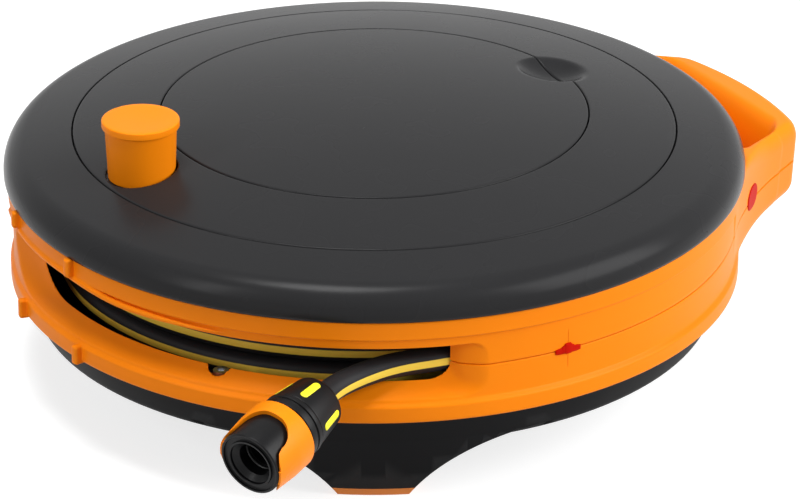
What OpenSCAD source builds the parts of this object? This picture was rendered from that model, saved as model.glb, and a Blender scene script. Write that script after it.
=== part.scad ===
// Low round garden hose reel that lies flat on three feet. A hand crank under the dome winds
// the hose on a drum with a vertical axis, and the hose leaves through a slot in the side.
// Millimetres. The origin is on the floor under the drum's axis, and +X points to the carrying handle.

/* [Casing] */
// Outer radius of the orange casing
casing_r = 193; // [185:1:230]
// Height of the casing's lower edge above the floor
casing_z = 54.3; // [50:0.1:64]
// Height of the lower half, up to the parting seam
lower_h = 27.7; // [25:0.1:36]
// Height of the upper half, from the parting seam to the cover
upper_h = 28; // [25:0.1:36]
// Wall thickness of the mouldings
wall = 3; // [2.4:0.1:3.6]
// How far the two edge bands stand proud of the wall between them
band_proud = 2; // [1:0.1:3]
// Height of the lower edge band
low_band_h = 8.2; // [5:0.1:11]
// Height of the upper edge band
top_band_h = 9.5; // [5:0.1:12]

/* [Hose slot] */
// Polar angle where the slot starts
slot_from = 172.5; // [165:0.5:180]
// Angle that the slot spans
slot_span = 79.1; // [60:0.1:90]
// Height of the slot's lip above the casing's lower edge
slot_lip_h = 18.5; // [17:0.1:20]
// Clear height of the slot
slot_h = 21.7; // [18:0.1:24]
// How deep the lip falls in from the casing's wall
lip_depth = 9; // [6:0.1:9.5]
// Radius of the wide scoop that flares the slot's far end
far_scoop_r = 120; // [80:1:150]
// Radius of the short scoop at the end where the hose comes out
near_scoop_r = 30; // [24:1:60]

/* [Cover] */
// How far the cover's edge stands out past the casing
cover_out = 2; // [0:0.5:5]
// Rise of the dome's crown above the casing
crown_h = 38.2; // [34:0.1:46]
// Radius of the sphere that the dome is cut from
dome_r = 855; // [700:5:1200]
// Radius of the round edge of the cover
cover_edge_r = 14.5; // [8:0.1:18]
// Width of the fixed rim, from the cover's edge in to the crank disc
rim_w = 36.4; // [32:0.1:44]
// Width of the crank disc, from its outer seam in to the lid
crank_w = 46.1; // [44:0.1:56]
// Gap along each seam of the dome
seam_gap = 0.6; // [0.3:0.05:1]

/* [Crank knob] */
// Distance of the knob's axis in from the outer seam of the crank disc
knob_inset = 21.6; // [20.6:0.1:24]
// How far the knob's lip stands out past its body
knob_lip = 2; // [1:0.1:3]
// Radius of the knob's body below the lip
knob_body_r = 18; // [15:0.1:19]
// Height of the knob's top above the dome beside it
knob_h = 28; // [20:0.1:36]

/* [Finger dish] */
// Radius of the dish that a finger opens the lid at
dish_r = 18.5; // [14:0.1:21]
// Depth of the dish
dish_depth = 6; // [4:0.1:7]

/* [Carrying handle] */
// Reach of the handle's bar beyond the casing
handle_out = 47; // [40:1:57]
// Half the width of the handle across its outer corners
handle_half_w = 58; // [54:0.5:66]
// Thickness of the handle's bar, outside to inside
handle_bar_t = 22; // [16:1:28]
// Height of the handle's bar
handle_h = 40; // [34:1:44]

/* [Base] */
// How far the feet meet the floor inside the casing's radius
foot_inset = 28; // [24:1:34]
// Depth of a foot at the floor, from its front to its back
foot_depth = 30; // [24:1:40]
// Half the width of a foot at the floor
foot_half_w = 18.4; // [15:0.1:24]
// Radius of the hollow flare between a foot and the bowl
foot_flare_r = 82; // [60:1:100]
// Height of the bowl's underside above the floor
bowl_z = 34.5; // [30:0.1:40]
// Height of the pad under a foot
pad_h = 4.4; // [3:0.1:6]

/* [Hose and drum] */
// Outer diameter of the hose
hose_d = 12.5; // [11:0.1:13.5]
// Gap between one turn of the winding and the next
turn_gap = 0.5; // [0.45:0.05:1]
// Clear height between the drum's flanges
drum_h = 65.3; // [55:0.1:66]
// Gap between the drum's flanges and the casing's wall
flange_gap = 17.5; // [17:0.5:24]
// How far the flanges stand out past the winding
flange_lip = 2.75; // [2:0.05:5]

/* [Connector] */
// Length of the connector from its face to its nut's end
connector_l = 60; // [54:0.5:66]
// Radius of the connector's front sleeve
sleeve_r = 16.8; // [15:0.1:17.5]
// Radius of the sliding collar
collar_r = 19.2; // [18.4:0.1:21]
// Travel of the collar
collar_travel = 4; // [2:0.5:5]

/* [Hidden] */
$fn = 120;
fine = 360;

orange = [0.96, 0.50, 0.10];
black = [0.16, 0.16, 0.17];
red = [0.85, 0.13, 0.05];
yellow = [0.98, 0.92, 0.15];
steel = [0.72, 0.73, 0.75];
rubber = [0.10, 0.10, 0.10];
brass = [0.78, 0.62, 0.30];

slack = 0.3;
running = 0.08;
cut = 1;

seam_z = casing_z + lower_h;
top_z = seam_z + upper_h;
wall_r = casing_r - band_proud;
wall_in_r = wall_r - wall;
cover_r = casing_r + cover_out;
crank_seam_r = cover_r - rim_w;
lid_seam_r = crank_seam_r - crank_w;
handle_reach = casing_r + handle_out;
foot_r = casing_r - foot_inset;
slot_lip_z = casing_z + slot_lip_h;
slot_top_z = slot_lip_z + slot_h;
slot_to = slot_from + slot_span;
lip_r = wall_r - lip_depth;
low_step_h = 3;
top_step_h = 1.6;
tab_proud = 4;
lip_low_z = casing_z + low_band_h + low_step_h + 1.1;
lip_fall = slot_lip_z - lip_low_z;
lip_sag_r = 22;

lap_h = 3;
lap_t = wall / 2;

dome_z = top_z + crown_h;
crank_gap = seam_gap / 2;

foot_angles = [0, 120, 240];
screw_ring = [35, 95, 155, 215, 275, 335];
tower_ring_r = wall_in_r - 8.5;
ear_z = casing_z + 9.7;
ear_t = 3;
screw_shank_r = 2;
screw_head_r = 4;
screw_head_h = 2.6;
slot_screw_angle = screw_ring[3];
cover_screw_r = wall_in_r - 6;

lower_flange_r = wall_in_r - 3.1;
bowl_top_r = casing_r - 5.2;
bowl_edge_z = bowl_z + 4;
bowl_edge_r = bowl_top_r - 6.6;
spigot_h = 6;
foot_back_r = 42;
foot_back_z = bowl_edge_z - 46;

clip_angles = [-89.5, 89.5];
clip_w = 13;
clip_h = 4.6;
clip_depth = 4.5;
handle_clip_w = 21.4;
handle_clip_h = 14.2;
handle_clip_angle = 25.9;
handle_clip_turn = 24.7;
handle_clip_r = 201.5;
handle_clip_z = seam_z + 2.2;
handle_drop = 5.5;
handle_corner_r = 12;
handle_corner = [handle_reach - 5.5 - handle_corner_r, handle_half_w - handle_corner_r];
handle_root = [casing_r * 0.785, casing_r * 0.4515];

drum_z = bowl_z + 9;
drum_t = 2.5;
turn_play = 0.35;
first_turn_z = drum_z + drum_t + hose_d / 2 + turn_play;
flange_r = wall_in_r - flange_gap;
winding_r = flange_r - flange_lip;
turn_r = winding_r - hose_d / 2;
turn_step = hose_d + turn_gap;
turns = floor((drum_h - 2 * turn_play - hose_d) / turn_step) + 1;
drum_top_z = drum_z + drum_t + drum_h;
bowl_r = lid_seam_r - 11;
barrel_r = bowl_r + 13.5;
barrel_in_r = barrel_r - wall;
drum_screw_r = barrel_in_r - 3.8;
drum_screws_at = [30:60:359];
turn_rings = 24;
pack_r = (winding_r - hose_d) * cos(180 / turn_rings) - slack;
turn_from = 195;
turn_sides = 6;

ledge_z = dome_height(lid_seam_r) - dish_depth - 3.2;
ledge_t = 3.5;
lid_t = 2.8;
bowl_rim_t = 1.2;
bowl_floor_z = drum_z + 42.5;
crank_screw_r = lid_seam_r - 4.5;
crank_screws_at = [0:60:359];

spindle_r = 12;
spindle_bore_r = 4.5;
spindle_top_z = drum_z + 30;
hub_r = 18.5;
hub_top_z = drum_z + 16.5;
bush_r = 15;
spindle_seal_z = [hub_top_z + 7, hub_top_z + 11];
elbow_z = drum_z + 36.6;
elbow_t = 2.6;
tail_z = drum_z + 33.4;
tail_bore_r = 3;
tail_turn = 300;
inlet_turn = 60;
inlet_z = 17;
inlet_reach = 62;
nipple_r = 8.5;
nipple_l = 14.6;
inlet_seal_s = 56;
inlet_screw_r = 18;
hub_play = 21;

stem_r = 6;
knob_at = crank_seam_r - knob_inset;
knob_lip_r = knob_body_r + knob_lip;
knob_top_z = dome_height(knob_at) + knob_h;
knob_seat_z = dome_height(knob_at + knob_body_r) - 1;

// The hose leaves the winding here and runs to the connector. Points on the centre line, from the hidden
// start beside the winding to the mouth of the nut.
lead_route = [
    [48.4, -167.6, 80.6], [30.3, -171.8, 80.6], [11, -174.1, 80.6], [-10, -174.2, 80.6],
    [-30, -172, 80.6], [-46, -168.7, 80.6], [-54, -166.6, 80.7], [-62, -165.2, 80.8], [-70, -163.4, 80.8],
    [-78, -161.8, 80.7], [-86.5, -160.7, 80.3], [-94.5, -160.4, 79.7], [-102.5, -160.7, 79],
    [-111, -162, 78.3], [-119, -164.4, 77.4], [-126.3, -167.9, 76.2], [-134.2, -171.6, 74.6]];
lead_sides = 10;

connector_face = [-179.6, -193.2, 65.7];
connector_tilt = 79.9;
connector_turn = 25.4;
socket_seal_s = 11;
nut_front = 37.5;
nut_front_r = 17;
nut_rear_r = 13.6;
collar_front = 19;
collar_rear = nut_front - collar_travel - 4.8;
sleeve_bore_r = 8.7;
socket_l = 21;
spigot_l = 13;
groove_s = collar_front + 1.2;
groove_end_s = 29.6;
groove_r = sleeve_r - 1.5;
ring_r = 17.3;
spring_turns = 3;
spring_wire = 0.9;
grip_count = 5;
grip_l = 14.6;
grip_w = 4.2;
grip_from = -162.7;
grip_t = 1.9;
grip_mid = (nut_front + connector_l) / 2 - 1;
grip_slope = atan((nut_front_r - nut_rear_r - 0.5) / (connector_l - nut_front - 3));
wing_from = -167.7;

// Height of the dome's surface at a distance from the axis
function dome_height(r) = dome_z - dome_r + sqrt(dome_r * dome_r - r * r);

// Points along an arc, from angle a to angle b
function arc(cx, cy, r, a, b, n) =
    [for (i = [0:n]) let (t = a + (b - a) * i / n) [cx + r * cos(t), cy + r * sin(t)]];

// Points along a hollow arc of radius r that sags below the line from one point to another
function sag(from, to, r, n) =
    let (d = to - from, mid = (from + to) / 2, rise = sqrt(r * r - d * d / 4),
        centre = mid + [-d[1], d[0]] / norm(d) * rise, a = from - centre, b = to - centre)
    arc(centre[0], centre[1], r, atan2(a[1], a[0]), atan2(b[1], b[0]), n);

module at_polar(angle, r, z = 0) {
    rotate([0, 0, angle]) translate([r, 0, z]) children();
}

module ring(r_out, r_in, z0, z1) {
    translate([0, 0, z0]) difference() {
        cylinder(r = r_out, h = z1 - z0);
        translate([0, 0, -cut]) cylinder(r = r_in, h = z1 - z0 + 2 * cut);
    }
}

// A screw standing on its tip, with a hexagon socket in its head
module screw(shank_r, length, head_r, head_h) {
    union() {
        cylinder(r = shank_r, h = length, $fn = 32);
        translate([0, 0, length]) difference() {
            cylinder(r = head_r, h = head_h, $fn = 40);
            translate([0, 0, head_h * 0.45]) cylinder(r = head_r * 0.5, h = head_h, $fn = 6);
        }
    }
}

// Points of the dome's profile from one radius to another, lowered by a drop
function dome_line(r_from, r_to, drop, n) =
    [for (i = [0:n]) let (r = r_from + (r_to - r_from) * i / n) [r, dome_height(r) - drop]];

// A ring between two radii that ends inside the dome's shell, with a flat underside at a height
module dome_ring(r_in, r_out, low_z) {
    rotate_extrude($fn = fine)
        polygon(concat(dome_line(r_in, r_out, wall / 2, 4), [[r_out, low_z], [r_in, low_z]]));
}

// An upright ring that hangs from the shell of the dome
module hung_ring(r_in, r_out, low_z) {
    ring(r_out, r_in, low_z, dome_height(r_out) - 1);
}

// A ring of the dome, one shell thick
module dome_shell(r_in, r_out, thickness) {
    rotate_extrude($fn = fine)
        polygon(concat(dome_line(r_in, r_out, 0, 16), dome_line(r_out, r_in, thickness, 16)));
}

// The sphere that scoops the finger dish across the inner seam
module dish_ball() {
    ball = (dish_r * dish_r + dish_depth * dish_depth) / (2 * dish_depth);
    translate([lid_seam_r, 0, dome_height(lid_seam_r) - dish_depth + ball]) sphere(r = ball, $fn = fine);
}

// The floor under the dish, standing down from the shell
module dish_floor(low_z) {
    translate([lid_seam_r, 0, low_z]) cylinder(r = dish_r + 1, h = dome_height(lid_seam_r) - low_z - 2);
}

// One level of the handle's outline: two outer corners, the bowed bar and two roots inside the casing. The
// bar stands lower than the roots by drop.
module handle_level(z, inset, drop = 0) {
    bow_r = 212;
    bow_half = handle_corner[1] - 6;
    for (side = [-1, 1]) {
        translate([handle_corner[0], side * handle_corner[1], z - drop])
            cylinder(r = handle_corner_r - inset, h = 0.1, $fn = 24);
        translate([handle_root[0], side * handle_root[1], z])
            cylinder(r = handle_corner_r - inset, h = 0.1, $fn = 16);
    }
    translate([0, 0, z - drop]) linear_extrude(0.1) polygon(concat([[casing_r + 15, 0]],
        [for (i = [-4:4]) let (y = bow_half * i / 4)
            [handle_reach - bow_r + sqrt(pow(bow_r - inset, 2) - y * y), y]]));
}

// The handle's full form, drawn in at its top and bottom edges
module handle_block() {
    low_z = top_z - handle_h;
    hull() {
        for (level = [[0, 7], [3, 2.6], [8, 0]]) handle_level(low_z + level[0], level[1]);
        for (level = [[10, 0], [4, 1.7], [0.1, 6.5]])
            handle_level(top_z - level[0], level[1], handle_drop);
    }
}

// Long hollow curve that leads each side of the handle into the casing's wall
module handle_fillets() {
    curve_r = 250;
    along = (handle_corner - handle_root) / norm(handle_corner - handle_root);
    side_angle = atan2(along[0], -along[1]);
    bite = 0.6;
    reach = handle_root[0] * cos(side_angle) + handle_root[1] * sin(side_angle) + handle_corner_r;
    far = wall_r + curve_r - bite;
    meet = side_angle - acos((reach + curve_r - bite) / far);
    centre = far * [cos(meet), sin(meet)];
    for (side = [0, 1]) mirror([0, side, 0]) translate([0, 0, casing_z + low_band_h + 4])
        linear_extrude(handle_h - 5) polygon(concat(
            arc(centre[0], centre[1], curve_r, side_angle + 180, meet + 180, 7),
            [[cos(meet), sin(meet)] * (wall_r - 2), handle_root]));
}

// The finger hole, wider at the top than below, kept clear of the casing's wall
module finger_hole() {
    outer = [handle_reach - handle_bar_t - 9, handle_half_w - 11.5];
    end = [casing_r - 6.8, handle_half_w + 8.4];
    difference() {
        hull() for (level = [[casing_z - cut, 7], [top_z - 16, 6], [top_z - 7, 3.4], [top_z + cut, 0]])
            for (side = [-1, 1]) {
                translate([outer[0] - level[1], side * (outer[1] - level[1]), level[0]])
                    cylinder(r = 9, h = 0.1, $fn = 24);
                translate([end[0], side * (end[1] - level[1] * 1.3), level[0]])
                    cylinder(r = 4, h = 0.1, $fn = 16);
            }
        cylinder(r = casing_r + 1.5, h = dome_z, $fn = fine);
    }
}

// Gusset that carries the handle's arms down into the casing, swept in under the bar
module handle_gusset() {
    sweep_r = 40;
    low_z = top_z - handle_h;
    difference() {
        hull() {
            handle_level(casing_z, 8);
            handle_level(low_z + 7.9, 0);
        }
        translate([casing_r + sweep_r - 1, 0, low_z - sweep_r * 0.56]) rotate([90, 0, 0])
            cylinder(r = sweep_r, h = 4 * handle_half_w, center = true);
        translate([casing_r + sweep_r - 1, -2 * handle_half_w, casing_z - cut])
            cube([2 * sweep_r, 4 * handle_half_w, low_z - casing_z + 3]);
    }
}

// The wall of the casing as a closed ring, with its two proud bands
module casing_wall() {
    rotate_extrude($fn = fine) polygon([
        [wall_in_r, casing_z], [casing_r - 0.6, casing_z], [casing_r, casing_z + 0.6],
        [casing_r, casing_z + low_band_h],
        [wall_r + 0.5, casing_z + low_band_h + low_step_h * 0.6],
        [wall_r, casing_z + low_band_h + low_step_h],
        [wall_r, top_z - top_band_h - top_step_h], [casing_r, top_z - top_band_h],
        [casing_r, top_z - 0.6], [casing_r - 0.6, top_z], [wall_in_r, top_z]]);
}

// Thick inner pad that backs the slot's lip and its flared ends
module slot_backing() {
    pad_in_r = lip_r - 0.5;
    rotate([0, 0, slot_from - 13]) rotate_extrude(angle = slot_span + 26, $fn = fine) polygon([
        [pad_in_r, slot_lip_z - 3], [wall_in_r + cut, slot_lip_z - 10],
        [wall_in_r + cut, slot_top_z + 7], [pad_in_r, slot_top_z + 2]]);
}

// One flared scoop, as deep as the lip, centred on an end of the slot
module slot_scoop(angle, radius) {
    upper_fall = 3.5;
    at_polar(angle, lip_r + radius) {
        translate([0, 0, lip_low_z]) cylinder(r1 = radius - lip_depth, r2 = radius, h = lip_fall);
        translate([0, 0, slot_lip_z]) cylinder(r = radius, h = slot_h - upper_fall);
        translate([0, 0, slot_top_z - upper_fall])
            cylinder(r1 = radius, r2 = radius - lip_depth, h = upper_fall);
    }
}

// What the slot takes out of the casing: the opening, the falling lip and the two scoops
module slot_cut() {
    rotate([0, 0, slot_from]) rotate_extrude(angle = slot_span, $fn = fine) polygon(concat(
        [[lip_r - 5, slot_lip_z]],
        sag([lip_r + 0.6, slot_lip_z], [wall_r + 0.5, lip_low_z - 0.4], lip_sag_r, 6),
        [[casing_r + 4, lip_low_z - 1.2], [casing_r + 4, slot_top_z + 0.2], [lip_r - 5, slot_top_z]]));
    difference() {
        union() {
            slot_scoop(slot_from, far_scoop_r);
            slot_scoop(slot_to, near_scoop_r);
        }
        cylinder(r = lip_r, h = dome_z);
    }
}

// Short upright tabs on the casing's bands beside the slot
module slot_tabs(angles, z0, height) {
    tab_w = 4.6;
    nose = 1.4;
    root_r = casing_r - 1.2;
    tab_out = casing_r + tab_proud - nose - root_r;
    difference() {
        for (angle = angles) at_polar(angle, root_r, z0) {
            translate([0, -tab_w / 2, 0]) cube([tab_out, tab_w, height]);
            translate([tab_out, nose - tab_w / 2, 0]) cylinder(r = nose, h = height, $fn = 32);
            translate([tab_out, tab_w / 2 - nose, 0]) cylinder(r = nose, h = height, $fn = 32);
            translate([tab_out, nose - tab_w / 2, 0]) cube([nose, tab_w - 2 * nose, height]);
        }
        translate([0, 0, top_z - slack]) cylinder(r = cover_r + slack, h = height);
    }
}

module lower_casing() {
    color(orange) difference() {
        union() {
            intersection() {
                union() {
                    casing_wall();
                    slot_backing();
                }
                cylinder(r = cover_r + cut, h = seam_z);
            }
            difference() {
                intersection() {
                    union() {
                        handle_block();
                        handle_gusset();
                        handle_fillets();
                    }
                    cylinder(r = handle_reach + 20, h = seam_z);
                }
                cylinder(r = wall_in_r + 1, h = seam_z + cut);
            }
            ring(wall_in_r + cut, lower_flange_r, casing_z, casing_z + wall);
            for (angle = screw_ring) intersection() {
                at_polar(angle, tower_ring_r, ear_z) {
                    cylinder(r = 5.6, h = ear_t, $fn = 40);
                    translate([0, -5.6, 0]) cube([11, 11.2, ear_t]);
                }
                cylinder(r = wall_in_r + cut, h = seam_z);
            }
            slot_tabs([slot_from - 1.7, slot_from + 16.8], casing_z - 1, low_band_h + 5.5);
        }
        ring(wall_in_r + lap_t + slack / 2, wall_in_r - 8, seam_z - lap_h, seam_z + cut);
        slot_cut();
        finger_hole();
        for (angle = screw_ring) at_polar(angle, tower_ring_r, ear_z - cut)
            cylinder(r = screw_shank_r + 0.2, h = ear_t + 2 * cut, $fn = 32);
        at_polar(slot_screw_angle, tower_ring_r, ear_z + ear_t)
            cylinder(r = screw_head_r + 2.4, h = 30, $fn = 40);
        clip_pockets();
    }
}

module upper_casing() {
    color(orange) difference() {
        union() {
            intersection() {
                union() {
                    casing_wall();
                    slot_backing();
                    ring(wall_in_r + lap_t - slack / 2, wall_in_r, seam_z - lap_h + slack, seam_z + cut);
                }
                union() {
                    ring(cover_r + cut, wall_in_r - 8, seam_z, top_z);
                    ring(wall_in_r + lap_t - slack / 2, wall_in_r, seam_z - lap_h + slack, seam_z + cut);
                }
            }
            difference() {
                intersection() {
                    union() {
                        handle_block();
                        handle_fillets();
                    }
                    translate([0, 0, seam_z]) cylinder(r = handle_reach + 20, h = upper_h);
                }
                translate([0, 0, seam_z - cut]) cylinder(r = wall_in_r + 1, h = upper_h + 2 * cut);
            }
            ring(wall_in_r + cut, wall_in_r - 11, top_z - wall, top_z);
            slot_tabs([slot_from - 4, slot_from + 15.4], slot_top_z - 0.2, top_z - slot_top_z + 2.4);
        }
        slot_cut();
        finger_hole();
        for (angle = screw_ring) at_polar(angle, cover_screw_r, top_z - wall - cut)
            cylinder(r = screw_shank_r + 0.2, h = wall + 2 * cut, $fn = 32);
        clip_pockets();
    }
}

// Pockets that the red clips press into, across the parting seam
module clip_pockets() {
    for (angle = clip_angles) at_polar(angle, wall_r - clip_depth, seam_z) clip_shape(0);
    for (side = [-1, 1]) at_handle_clip(side) handle_clip_shape(0, clip_depth + 12);
}

// Puts a handle clip square to the outer face of one of the handle's arms
module at_handle_clip(side) {
    at_polar(side * handle_clip_angle, handle_clip_r, handle_clip_z)
        rotate([0, 0, side * handle_clip_turn]) translate([-clip_depth, 0, 0]) children();
}

module clip_shape(gap) {
    translate([0, -clip_w / 2 + gap, -clip_h / 2 + gap])
        cube([clip_depth + 2, clip_w - 2 * gap, clip_h - 2 * gap]);
}

module handle_clip_shape(gap, depth) {
    half = (handle_clip_w - handle_clip_h) / 2;
    rotate([0, 90, 0]) {
        for (end = [-half, half]) translate([0, end, 0])
            cylinder(r = handle_clip_h / 2 - gap, h = depth, $fn = 48);
        translate([gap - handle_clip_h / 2, -half, 0]) cube([handle_clip_h - 2 * gap, 2 * half, depth]);
    }
}

module side_clips() {
    color(red) for (angle = clip_angles) at_polar(angle, wall_r - clip_depth, seam_z) intersection() {
        clip_shape(0.1);
        union() {
            translate([0, -clip_w / 2, -clip_h / 2]) cube([clip_depth - 0.4, clip_w, clip_h]);
            translate([0, -4, -clip_h / 2]) cube([clip_depth + 0.6, 8, clip_h * 0.6]);
            translate([0, -1, -clip_h / 2]) cube([clip_depth + 0.6, clip_w, clip_h * 0.75]);
        }
    }
}

module handle_clips() {
    color(red) for (side = [-1, 1]) at_handle_clip(side) handle_clip_shape(0.1, clip_depth);
}

module casing_screws() {
    length = 15;
    color(steel) for (angle = screw_ring) at_polar(angle, tower_ring_r, ear_z + ear_t - length)
        screw(screw_shank_r, length, screw_head_r, screw_head_h);
}

// Outer form of the bowl and feet as one revolved body, narrowing to the floor
module bowl_form(shrink) {
    rotate_extrude($fn = fine) polygon([
        [0, 0], [foot_r - shrink, 0], [bowl_edge_r - shrink, bowl_edge_z],
        [bowl_top_r - shrink, casing_z], [0, casing_z]]);
}

// A foot seen from its front: a trapezoid with hollow flares into the bowl
module foot_form(shrink) {
    flare_y = foot_half_w + sqrt(pow(foot_flare_r, 2) - pow(foot_flare_r - bowl_edge_z, 2)) - 0.3;
    back_x = foot_r - foot_depth - sqrt(pow(foot_back_r, 2) - pow(foot_back_z, 2));
    difference() {
        translate([back_x + shrink, -flare_y, 0]) cube([foot_r - back_x + 25, 2 * flare_y, bowl_edge_z + 2]);
        for (side = [-1, 1]) translate([0, side * flare_y, bowl_edge_z - foot_flare_r]) rotate([0, 90, 0])
            cylinder(r = foot_flare_r + shrink, h = 2 * casing_r, $fn = fine);
        translate([back_x, 0, foot_back_z]) rotate([90, 0, 0])
            cylinder(r = foot_back_r + shrink, h = 2 * flare_y + 2, center = true, $fn = 180);
    }
}

module base_shell() {
    inlet_hole_r = spindle_r + slack;
    color(black) difference() {
        union() {
            difference() {
                bowl_form(0);
                rotate_extrude($fn = fine) polygon([
                    [0, -cut], [bowl_edge_r - 4 + 60, -cut], [bowl_edge_r + 60, bowl_edge_z],
                    [bowl_edge_r, bowl_edge_z], [bowl_edge_r - 1.4, bowl_z + 1.6],
                    [bowl_edge_r - 4.6, bowl_z],
                    [0, bowl_z]]);
            }
            for (angle = foot_angles) rotate([0, 0, angle]) intersection() {
                bowl_form(0);
                foot_form(0);
            }
            ring(lower_flange_r - slack, lower_flange_r - slack - wall, casing_z - cut, casing_z + spigot_h);
        }
        difference() {
            rotate_extrude($fn = fine) polygon([
                [0, bowl_z + wall], [bowl_edge_r - 6, bowl_z + wall],
                [bowl_edge_r - wall, bowl_edge_z + wall],
                [lower_flange_r - slack - wall, casing_z], [lower_flange_r - slack - wall, casing_z + 20],
                [0, casing_z + 20]]);
            for (angle = screw_ring) at_polar(angle, tower_ring_r) cylinder(r = 4.8, h = ear_z, $fn = 48);
            cylinder(r = hub_play, h = drum_z - 1.6);
            for (angle = [0:60:359]) rotate([0, 0, angle + 30]) translate([20, -1.2, 0])
                cube([bowl_edge_r - 26, 2.4, drum_z - 3]);
        }
        for (angle = foot_angles) rotate([0, 0, angle]) difference() {
            translate([0, 0, wall + 6]) intersection() {
                bowl_form(wall + 1);
                foot_form(wall);
                cylinder(r = casing_r, h = bowl_z - 9);
            }
        }
        for (angle = foot_angles) rotate([0, 0, angle]) intersection() {
            translate([foot_r - foot_depth - 3 - slack, -foot_half_w - 4, -cut])
                cube([foot_depth + 16, 2 * foot_half_w + 8, pad_h + cut]);
            bowl_form(-cut);
        }
        for (angle = screw_ring) at_polar(angle, tower_ring_r, ear_z - 14)
            cylinder(r = screw_shank_r + 0.05, h = 15, $fn = 32);
        translate([0, 0, bowl_z - cut]) cylinder(r = inlet_hole_r, h = 20);
        for (angle = [0:90:359]) at_polar(angle, inlet_screw_r, bowl_z - cut)
            cylinder(r = 1.55, h = 7, $fn = 32);
    }
}

module foot_pads() {
    color(orange) for (angle = foot_angles) rotate([0, 0, angle]) intersection() {
        bowl_form(0);
        foot_form(0);
        translate([foot_r - foot_depth - 3, -foot_half_w - 4, 0])
            cube([foot_depth + 16, 2 * foot_half_w + 8, pad_h]);
    }
}

// Profile of the cover's rim: the dome, a round edge that is tangent to it, and the drop to the casing
module rim_profile(drop) {
    edge_x = cover_r - cover_edge_r;
    reach = sqrt(pow(dome_r - cover_edge_r, 2) - pow(edge_x, 2));
    edge_z = dome_z - dome_r + reach;
    edge_r = cover_edge_r - drop;
    meet_r = edge_x * dome_r / (dome_r - cover_edge_r);
    inner_r = crank_seam_r + crank_gap;
    polygon(concat(dome_line(inner_r, meet_r, drop, 10),
        arc(edge_x, edge_z, edge_r, atan2(reach, edge_x), 0, 20),
        [[edge_x + edge_r, edge_z - 2], [edge_x + edge_r - 1.4, top_z], [inner_r, top_z]]));
}

// Fixed outer ring of the dome, with screw posts down to the casing
module cover_rim() {
    skirt_h = 8;
    inner_r = crank_seam_r + crank_gap;
    color(black) difference() {
        union() {
            rotate_extrude($fn = fine) difference() {
                rim_profile(0);
                translate([-cut, -cut]) rim_profile(wall - cut * 0.7);
            }
            hung_ring(inner_r + 0.1, inner_r + wall, dome_height(crank_seam_r) - skirt_h);
            ring(cover_r - wall, wall_in_r - 9, top_z, top_z + wall);
            for (angle = screw_ring) at_polar(angle, cover_screw_r, top_z)
                cylinder(r = 4.4, h = 12, $fn = 40);
        }
        for (angle = screw_ring) at_polar(angle, cover_screw_r, top_z - cut)
            cylinder(r = screw_shank_r - 0.1, h = 9, $fn = 32);
    }
}

module cover_screws() {
    length = 10;
    color(steel) for (angle = screw_ring) at_polar(angle, cover_screw_r, top_z - wall + length)
        rotate([180, 0, 0]) screw(screw_shank_r - 0.1, length, 3.6, 2.4);
}

// Elbow under the base: a nipple for the supply hose and the hollow spindle that the drum turns on
module inlet_elbow() {
    flange_r2 = 24;
    color(black) difference() {
        union() {
            translate([0, 0, inlet_z - 10]) cylinder(r = 13, h = bowl_z - inlet_z + 10 - 0.1);
            translate([0, 0, bowl_z - 3.4]) cylinder(r = flange_r2, h = 3.3);
            translate([0, 0, bowl_z - cut]) cylinder(r = spindle_r, h = spindle_top_z - bowl_z + cut);
            rotate([0, 0, inlet_turn]) translate([0, 0, inlet_z]) rotate([0, 90, 0]) {
                cylinder(r = 10.5, h = 34);
                cylinder(r = nipple_r, h = inlet_reach);
                translate([0, 0, 34]) cylinder(r1 = 10.5, r2 = nipple_r + 0.7, h = 2.5);
                cylinder(r = nipple_r + 0.7, h = inlet_reach - nipple_l);
            }
        }
        translate([0, 0, inlet_z]) cylinder(r = spindle_bore_r, h = spindle_top_z);
        rotate([0, 0, inlet_turn]) translate([0, 0, inlet_z]) rotate([0, 90, 0]) {
            cylinder(r = spindle_bore_r + 0.5, h = inlet_reach + cut);
            translate([0, 0, inlet_seal_s - 1.2]) ring(nipple_r + cut, nipple_r - 1.8, 0, 2.4);
            translate([0, 0, inlet_reach - nipple_l + 3]) ring(nipple_r + cut, nipple_r - 0.8, 0, 2);
        }
        for (angle = [0:90:359]) at_polar(angle, inlet_screw_r, bowl_z - 4)
            cylinder(r = 1.8, h = 6, $fn = 32);
        for (z = spindle_seal_z) translate([0, 0, z - 1]) ring(spindle_r + cut, spindle_r - 1.5, 0, 2);
        translate([0, 0, hub_top_z + 1]) ring(spindle_r + cut, spindle_r - 1.2, 0, 1.5);
    }
}

module inlet_screws() {
    color(steel) for (angle = [0:90:359]) at_polar(angle, inlet_screw_r, bowl_z - 3.4 + 9)
        rotate([180, 0, 0]) screw(1.5, 9, 3, 2);
}

module inlet_seal() {
    color(rubber) rotate([0, 0, inlet_turn]) translate([0, 0, inlet_z]) rotate([0, 90, 0])
        translate([0, 0, inlet_seal_s]) rotate_extrude()
            translate([nipple_r - 0.76, 0]) circle(r = 0.9, $fn = 32);
}

module spindle_seals() {
    color(rubber) for (z = spindle_seal_z) translate([0, 0, z])
        rotate_extrude() translate([spindle_r - 0.72, 0]) circle(r = 0.75, $fn = 32);
}

module spindle_clip() {
    color(steel) difference() {
        ring(spindle_r + 1.9, spindle_r - 1.1, hub_top_z + 1.1, hub_top_z + 2.4);
        translate([0, -2, 0]) cube([20, 4, hub_top_z + 5]);
    }
}

module thrust_washer() {
    color(steel) ring(19, spindle_r + 0.25, drum_z - 1.6, drum_z - 0.3);
}

module drum_bush() {
    color(brass) ring(bush_r, spindle_r + running, drum_z, hub_top_z);
}

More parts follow.
